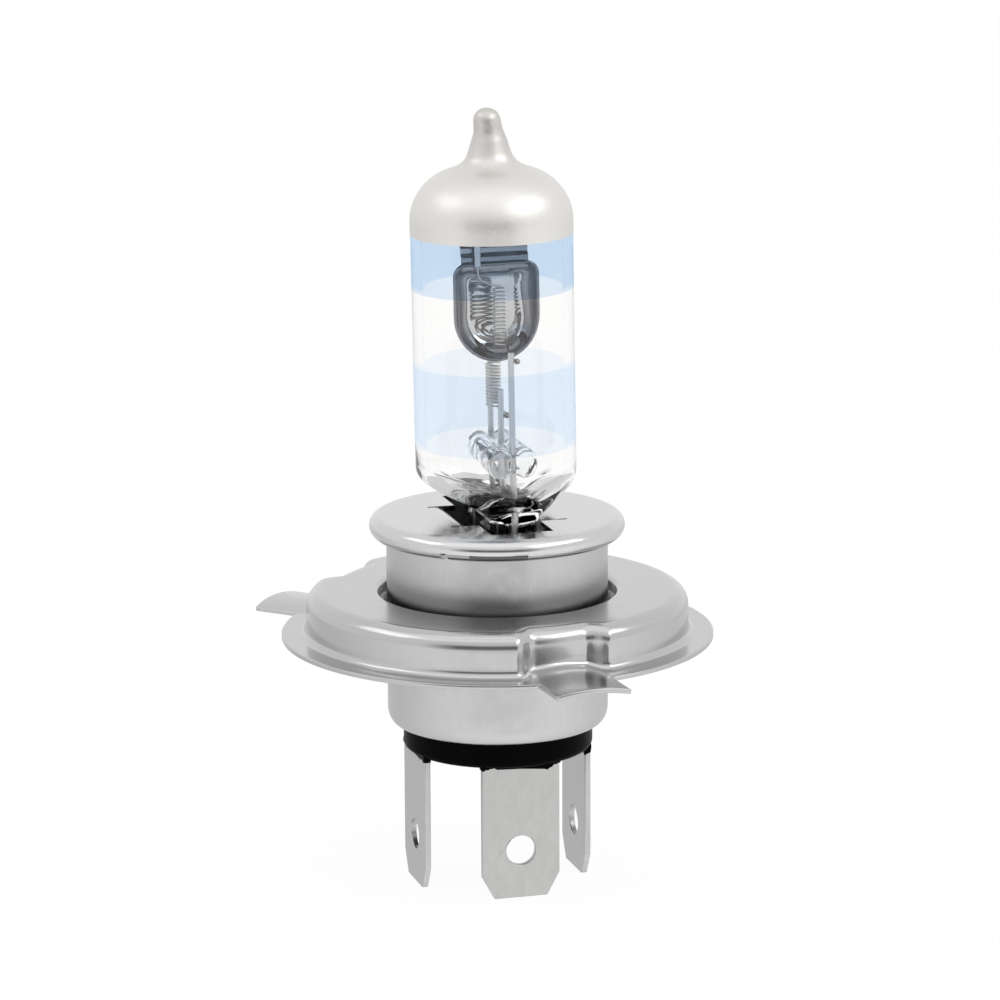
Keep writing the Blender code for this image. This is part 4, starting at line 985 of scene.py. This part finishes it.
def drawn_metal():
    """Steel with streaks up the sleeve, fine grain between them and painted shade at the ring and
    under the cap.
    """
    material = shaded("drawn_steel", Metallic=1.0)
    tree, shader = material.node_tree, shader_of(material)
    fine = grain(material, 700.0, (0.26, 0.36), SCRATCH_DEPTH / 2)
    parts = object_parts(tree)
    angle = add_node(tree, "ShaderNodeMath", {0: parts["Y"], 1: parts["X"]}, "Value",
                     operation="ARCTAN2")
    across, along = (add_node(tree, "ShaderNodeMath", {0: part, 1: scale}, "Value",
                              operation="MULTIPLY")
                     for part, scale in zip((angle, parts["Z"]), STREAKS))
    unrolled = add_node(tree, "ShaderNodeCombineXYZ", {"X": across, "Z": along}, "Vector")
    streaks = add_node(tree, "ShaderNodeTexNoise", {"Vector": unrolled, "Scale": 1.0,
                                                    "Detail": 6.0, "Roughness": 0.65}, "Fac")
    scratch = add_node(tree, "ShaderNodeBump", {"Height": streaks, "Distance": SCRATCH_DEPTH,
                                                "Normal": fine}, "Normal")
    tree.links.new(scratch, shader.inputs["Normal"])
    tree.links.new(blend(tree, streaks, (0.45, 0.45, 0.45), (0.62, 0.62, 0.62)),
                   shader.inputs["Base Color"])
    # Painted shade: darker by the ring's neck and faintly under the cap.
    level = ramp(tree, parts["Z"], SLEEVE_BOTTOM, SLEEVE_TOP)
    shade_curve = add_node(tree, "ShaderNodeFloatCurve", {"Value": level})
    line = shade_curve.mapping.curves[0]
    line.points[0].location = SLEEVE_SHADE[0]
    line.points[1].location = SLEEVE_SHADE[-1]
    for position, amount in SLEEVE_SHADE[1:-1]:
        line.points.new(position, amount)
    shade_curve.mapping.update()
    darkened(material, shade_curve.outputs["Value"], SLEEVE_SHADE_TINT)
    return material


sleeve_profile = [(SLEEVE_RADIUS - 0.08 * MM, SLEEVE_TOP), (SLEEVE_RADIUS, SLEEVE_TOP - 0.08 * MM)]
sleeve_profile += [(SLEEVE_RADIUS, SLEEVE_TOP + (SLEEVE_BOTTOM + ROLL_HEIGHT - SLEEVE_TOP) * k / 12)
                   for k in range(1, 13)]
for k in range(1, 11):
    bend_angle = math.pi / 2 * k / 10
    sleeve_profile.append((SLEEVE_RADIUS - ROLL_INSET * (1 - math.cos(bend_angle)),
                           SLEEVE_BOTTOM + ROLL_HEIGHT * (1 - math.sin(bend_angle))))
inner_wall = [(r - SHEET, z + (SHEET * 0.6 if z < SLEEVE_BOTTOM + ROLL_HEIGHT else 0.0))
              for r, z in reversed(sleeve_profile)]
sleeve_mesh = lathe("base_sleeve_fine", sleeve_profile + inner_wall, 192, True, 50.0)
add_piece("base_sleeve_fine", sleeve_mesh, drawn_metal(), "stamped_steel", "base_sleeve")

# --- Focus ring ------------------------------------------------------------
# One bright stamping: a neck spot-welded round the sleeve, a collar, a flange that beds in the
# headlight, and three lugs arched so that their crowns bear on the seat. The collar's wall is
# pressed in above each lug.
FLANGE_UNDERSIDE = -0.9 * MM
RING_SHEET = 0.45 * MM
COLLAR_RADIUS = 19.0 * MM
COLLAR_TOP = 3.87 * MM
COLLAR_FILLET = 1.6 * MM
FLANGE_RADIUS = 21.5 * MM
ROOT_FILLET = 0.7 * MM
NECK_BORE = 11.8 * MM
NECK_HEIGHT = 2.4 * MM
NECK_GRIP_GAP = 0.06 * MM
LUG_REACH = 26.4 * MM
LUG_HALF_WIDTH = 3.8 * MM
LUG_ARCH = 0.45 * MM
ARCH_STARTS = (15.0 * MM, 18.0 * MM)    # radii between which the lug's arch sets in
ARCH_FADES = (0.2 * MM, 1.6 * MM)       # heights between which it dies out up the wall
RECESS_STARTS = (15.0 * MM, 17.6 * MM)  # radii between which the recess sets in
RECESS_ENDS = (19.2 * MM, 20.6 * MM)    # and dies out
RECESS_DEPTH = 1.6 * MM
RECESS_HALF_WIDTH = 3.75 * MM
RECESS_WALL = 1.15 * MM
FRONT_LUG_ANGLE = math.radians(-85.5)
LUG_SPACING = math.radians(140.0)
LUG_ANGLES = (FRONT_LUG_ANGLE, FRONT_LUG_ANGLE + LUG_SPACING, FRONT_LUG_ANGLE - LUG_SPACING)


def ring_line():
    """Outer skin (r, z) from the neck up over the collar and out to the flange's edge."""
    top = COLLAR_TOP
    wall = COLLAR_RADIUS
    root = ROOT_FILLET
    flange = FLANGE_UNDERSIDE + RING_SHEET
    low = top - NECK_HEIGHT
    grip = SLEEVE_RADIUS + NECK_GRIP_GAP
    points = [(grip, low), (grip, low + 0.45 * MM), (NECK_BORE - 0.1 * MM, low + 1.1 * MM),
              (NECK_BORE, low + 1.35 * MM)]
    points += list(fillet((NECK_BORE + 0.5 * MM, top - 0.5 * MM), 0.5 * MM, 180, 90, 5))
    points += [(NECK_BORE + (wall - COLLAR_FILLET - NECK_BORE) * k / 8, top) for k in range(1, 8)]
    points += list(fillet((wall - COLLAR_FILLET, top - COLLAR_FILLET), COLLAR_FILLET, 90, 0, 10))
    foot = flange + root
    crest = top - COLLAR_FILLET
    points += [(wall, crest + (foot - crest) * k / 5) for k in range(1, 5)]
    points += list(fillet((wall + root, foot), root, 180, 270, 7))
    points += [(wall + root + (FLANGE_RADIUS - wall - root) * k / 6, flange)
               for k in range(1, 7)]
    return points


def ring_point(r, z, lug_angle, across):
    """Where a point of the skin goes, across being its distance from the lug's own axis."""
    near = 1 - smooth_step(RECESS_HALF_WIDTH - RECESS_WALL, RECESS_HALF_WIDTH + RECESS_WALL,
                           abs(across))
    depth = smooth_step(*RECESS_STARTS, r) * (1 - smooth_step(*RECESS_ENDS, r))
    radius = r - RECESS_DEPTH * near * depth
    arch = max(0.0, 1 - (across / LUG_HALF_WIDTH) ** 2)
    outward = smooth_step(*ARCH_STARTS, r) * (1 - smooth_step(*ARCH_FADES, z))
    height = z + LUG_ARCH * arch * outward
    along = math.sqrt(max(radius ** 2 - across ** 2, 0.0))
    point = Vector((along, across, height))
    point.rotate(Matrix.Rotation(lug_angle, 3, "Z"))
    return point


def ring_columns():
    """(lug angle, distance from its axis at the wall, own angle, whether it runs into the lug)."""
    columns = []
    lug_steps = 24
    edge_angle = math.asin(LUG_HALF_WIDTH / COLLAR_RADIUS)
    ordered = sorted(LUG_ANGLES)
    for index, angle in enumerate(ordered):
        for step in range(lug_steps + 1):
            across = LUG_HALF_WIDTH * (2 * step / lug_steps - 1)
            columns.append((angle, across, None, True))
        following = ordered[(index + 1) % 3] + (TAU if index == 2 else 0.0)
        start, end = angle + edge_angle, following - edge_angle
        count = round((end - start) / math.radians(1.2))
        for step in range(1, count):
            even = step / count
            gathered = 0.3 * even + 0.35 * (1 - math.cos(math.pi * even))
            columns.append((None, None, start + (end - start) * gathered, False))
    return columns


def build_ring():
    bm = bmesh.new()
    line = ring_line()
    columns = ring_columns()
    grid = []
    for lug_angle, across, own, in_lug in columns:
        column = []
        for r, z in line:
            if in_lug:
                fan = across * min(r / COLLAR_RADIUS, 1.0)
                column.append(bm.verts.new(ring_point(r, z, lug_angle, fan)))
            else:
                nearest = min(LUG_ANGLES, key=lambda a: abs(math.remainder(own - a, TAU)))
                gap = math.remainder(own - nearest, TAU)
                if abs(gap) < math.pi / 3:
                    column.append(bm.verts.new(ring_point(r, z, nearest, r * math.sin(gap))))
                else:
                    column.append(bm.verts.new((r * math.cos(own), r * math.sin(own), z)))
        grid.append(column)
    total = len(grid)
    for i in range(total):
        j = (i + 1) % total
        for k in range(len(line) - 1):
            bm.faces.new((grid[i][k], grid[i][k + 1], grid[j][k + 1], grid[j][k]))
    flange = line[-1][1]
    ends = {}
    lug_rows = 8
    for i, (lug_angle, across, own, in_lug) in enumerate(columns):
        if in_lug:
            strip = [grid[i][-1]]
            for step in range(1, lug_rows + 1):
                r = FLANGE_RADIUS + (LUG_REACH - FLANGE_RADIUS) * step / lug_rows
                strip.append(bm.verts.new(ring_point(r, flange, lug_angle, across)))
            ends[i] = strip
    for i in ends:
        if i + 1 in ends and columns[i][0] == columns[i + 1][0]:
            for k in range(lug_rows):
                bm.faces.new((ends[i][k], ends[i][k + 1], ends[i + 1][k + 1], ends[i + 1][k]))
    bmesh.ops.recalc_face_normals(bm, faces=bm.faces)
    up = sum(face.normal.z * face.calc_area() for face in bm.faces)
    if up < 0:
        bmesh.ops.reverse_faces(bm, faces=bm.faces)
    return finished("focus_ring_fine", bm, 60.0)


def ring_metal():
    """Bright stamping steel with the press's faint circular brushing."""
    material = shaded("bright_steel", Metallic=1.0)
    tree, shader = material.node_tree, shader_of(material)
    fine = grain(material, 600.0, (0.15, 0.23), 0.002 * MM)
    lines = add_node(tree, "ShaderNodeTexNoise", {"W": from_axis(tree), "Scale": 9000.0,
                                                  "Detail": 3.0}, "Fac", noise_dimensions="1D")
    bump = add_node(tree, "ShaderNodeBump", {"Height": lines, "Distance": 0.0015 * MM,
                                             "Normal": fine}, "Normal")
    tree.links.new(bump, shader.inputs["Normal"])
    tree.links.new(blend(tree, lines, (0.45, 0.45, 0.45), (0.53, 0.53, 0.53)),
                   shader.inputs["Base Color"])
    return material


ring = add_piece("focus_ring_fine", build_ring(), ring_metal(), "ring_steel", "focus_ring")
sheet_metal(ring, RING_SHEET, 0.07 * MM)
for index in (1, 2, 3):
    repaint(f"ring_weld_{index}", weld_metal)

# --- Insulator -------------------------------------------------------------
# A moulded black thermoset plug under the rolled edge of the sleeve. Potting resin has crept
# down round each blade and set with a ragged edge.
INSULATOR_BOTTOM = -12.28 * MM
INSULATOR_TOP = -7.4 * MM
INSULATOR_RADIUS = 9.45 * MM
INSULATOR_EDGE = 0.7 * MM
INSULATOR_RIM = (10.2 * MM, -7.7 * MM)  # radius and underside of the rim held in the sleeve
INSULATOR_SHOULDER = (9.5 * MM, -7.8 * MM)
INSULATOR_DRAFT_END = -9.3 * MM
LIP_RINGS = ((0.10, 0.3), (0.13, 0.0), (0.09, -0.7), (0.04, -1.0), (-0.02, -1.0))
BLADE_WIDTH = 7.95 * MM
BLADE_THICKNESS = 0.6 * MM
SIDE_BLADE_X = 8.3 * MM
SIDE_BLADE_Y = 0.4 * MM
FRONT_BLADE_Y = -7.85 * MM
UPRIGHT = Matrix.Rotation(math.pi / 2, 4, "X")
BLADE_PLACES = {
    "main": (Matrix.Translation((-SIDE_BLADE_X, SIDE_BLADE_Y, 0))
             @ Matrix.Rotation(-math.pi / 2, 4, "Z")),
    "common": (Matrix.Translation((SIDE_BLADE_X, SIDE_BLADE_Y, 0))
               @ Matrix.Rotation(math.pi / 2, 4, "Z")),
    "dipped": Matrix.Translation((0, FRONT_BLADE_Y, 0))}


def resin_lip(place, seed):
    """A thin ragged collar of resin round a blade, hanging from the plug.

    A ring stands off the blade by so many mm, and is at a height in mm above the plug's face
    or, below it, at a share of the drop.
    """
    bm = bmesh.new()
    loops = []
    count = 120
    for grow, level in LIP_RINGS:
        loop = []
        for x, y in oval(BLADE_WIDTH / 2 + grow * MM, BLADE_THICKNESS / 2 + grow * MM, 12, count):
            ragged = 0.34 + 0.85 * noise.noise(Vector((x * 900 + seed, y * 300, seed)))
            ragged += 0.18 * noise.noise(Vector((x * 4200, y * 1500, seed)))
            drop = max(0.06, ragged) * MM
            height = INSULATOR_BOTTOM + level * (drop if level < 0 else MM)
            loop.append(bm.verts.new((x, y, height)))
        loops.append(loop)
    skin(bm, loops)
    bmesh.ops.transform(bm, matrix=place, verts=bm.verts)
    return mesh_of("resin_lip", bm)


plug_profile = [(0.0, INSULATOR_TOP), (INSULATOR_RIM[0], INSULATOR_TOP), INSULATOR_RIM,
                INSULATOR_SHOULDER, (INSULATOR_RADIUS, INSULATOR_DRAFT_END)]
plug_profile += list(fillet((INSULATOR_RADIUS - INSULATOR_EDGE, INSULATOR_BOTTOM + INSULATOR_EDGE),
                            INSULATOR_EDGE, 0, -90, 10))
plug_profile.append((0.0, INSULATOR_BOTTOM))
plug_bm = bmesh.new()
plug_bm.from_mesh(lathe("plug", plug_profile, 128, False))
for lip_seed, place in zip((1.0, 6.0, 11.0), BLADE_PLACES.values()):
    plug_bm.from_mesh(resin_lip(place, lip_seed))
plug = finished("insulator_fine", plug_bm)
moulded = shaded("black_thermoset", Specular_IOR_Level=0.015)
grain(moulded, 1500.0, (0.28, 0.42), 0.006 * MM,
      ((0.0008, 0.0008, 0.0008), (0.003, 0.003, 0.003)))
add_piece("insulator_fine", plug, moulded, "black_insulator", "insulator")

# --- Contact blades --------------------------------------------------------
# Three blades blanked from tin-plated brass strip, with cut corners at the tip and a latch hole.
# Their edges are rounded over, and the plating is dull with fine scratches.
BLADE_BOTTOM = -25.87 * MM
BLADE_TIP_WIDTH = 5.4 * MM
BLADE_CHAMFER = 2.33 * MM
HOLE_RADIUS = 1.5 * MM
HOLE_HEIGHT = -21.02 * MM


def build_blade(place):
    half, tip = BLADE_WIDTH / 2, BLADE_TIP_WIDTH / 2
    right = [(tip, BLADE_BOTTOM), (half, BLADE_BOTTOM + BLADE_CHAMFER),
             (half, INSULATOR_BOTTOM + 0.3 * MM)]
    outline = right + [(-x, z) for x, z in reversed(right)]
    hole = [(HOLE_RADIUS * math.cos(TAU * i / 64),
             HOLE_HEIGHT + HOLE_RADIUS * math.sin(TAU * i / 64)) for i in range(64)]
    curve = bpy.data.curves.new("blade", "CURVE")
    curve.dimensions = "2D"
    curve.fill_mode = "BOTH"
    curve.extrude = BLADE_THICKNESS / 2
    for points in (outline, hole):
        spline = curve.splines.new("POLY")
        spline.points.add(len(points) - 1)
        for target, (x, y) in zip(spline.points, points):
            target.co = (x, y, 0.0, 1.0)
        spline.use_cyclic_u = True
    flat = added("blade", curve)
    graph = bpy.context.evaluated_depsgraph_get()
    mesh = bpy.data.meshes.new_from_object(flat.evaluated_get(graph))
    bpy.data.objects.remove(flat, do_unlink=True)
    bm = bmesh.new()
    bm.from_mesh(mesh)
    bmesh.ops.remove_doubles(bm, verts=bm.verts, dist=0.001 * MM)
    bmesh.ops.recalc_face_normals(bm, faces=bm.faces)
    bmesh.ops.transform(bm, matrix=place @ UPRIGHT, verts=bm.verts)
    return finished("blade", bm, 40.0)


tinned = metal("tinned_brass", 1300.0, (0.26, 0.44), 0.009 * MM,
               ((0.36, 0.36, 0.355), (0.62, 0.62, 0.61)), (1.0, 1.0, 0.45))
for blade_name, place in BLADE_PLACES.items():
    blade = add_piece(f"terminal_{blade_name}_fine", build_blade(place), tinned,
                      "tinned_blade", f"terminal_{blade_name}")
    soften(blade, 0.09 * MM, 3)

# --- Leads -----------------------------------------------------------------
# Inside the sleeve a wire runs from each foil to its blade's tab and is soldered there. The CAD
# shapes are right as they are and only get a better finish.
lead_metal = metal("lead_wire", 1500.0, (0.3, 0.45), 0.003 * MM,
                   ((0.50, 0.46, 0.42), (0.62, 0.58, 0.54)))
solder_metal = metal("solder", 1200.0, (0.2, 0.35), 0.004 * MM,
                     ((0.55, 0.55, 0.56), (0.68, 0.68, 0.69)))
for name in ("common", "main", "dipped"):
    repaint(f"lead_{name}", lead_metal)
    repaint(f"solder_{name}", solder_metal)

# --- Update ----------------------------------------------------------------
# The CAD model's box was taken before any piece was added; here the view layer is brought up to
# date.
bpy.context.view_layer.update()
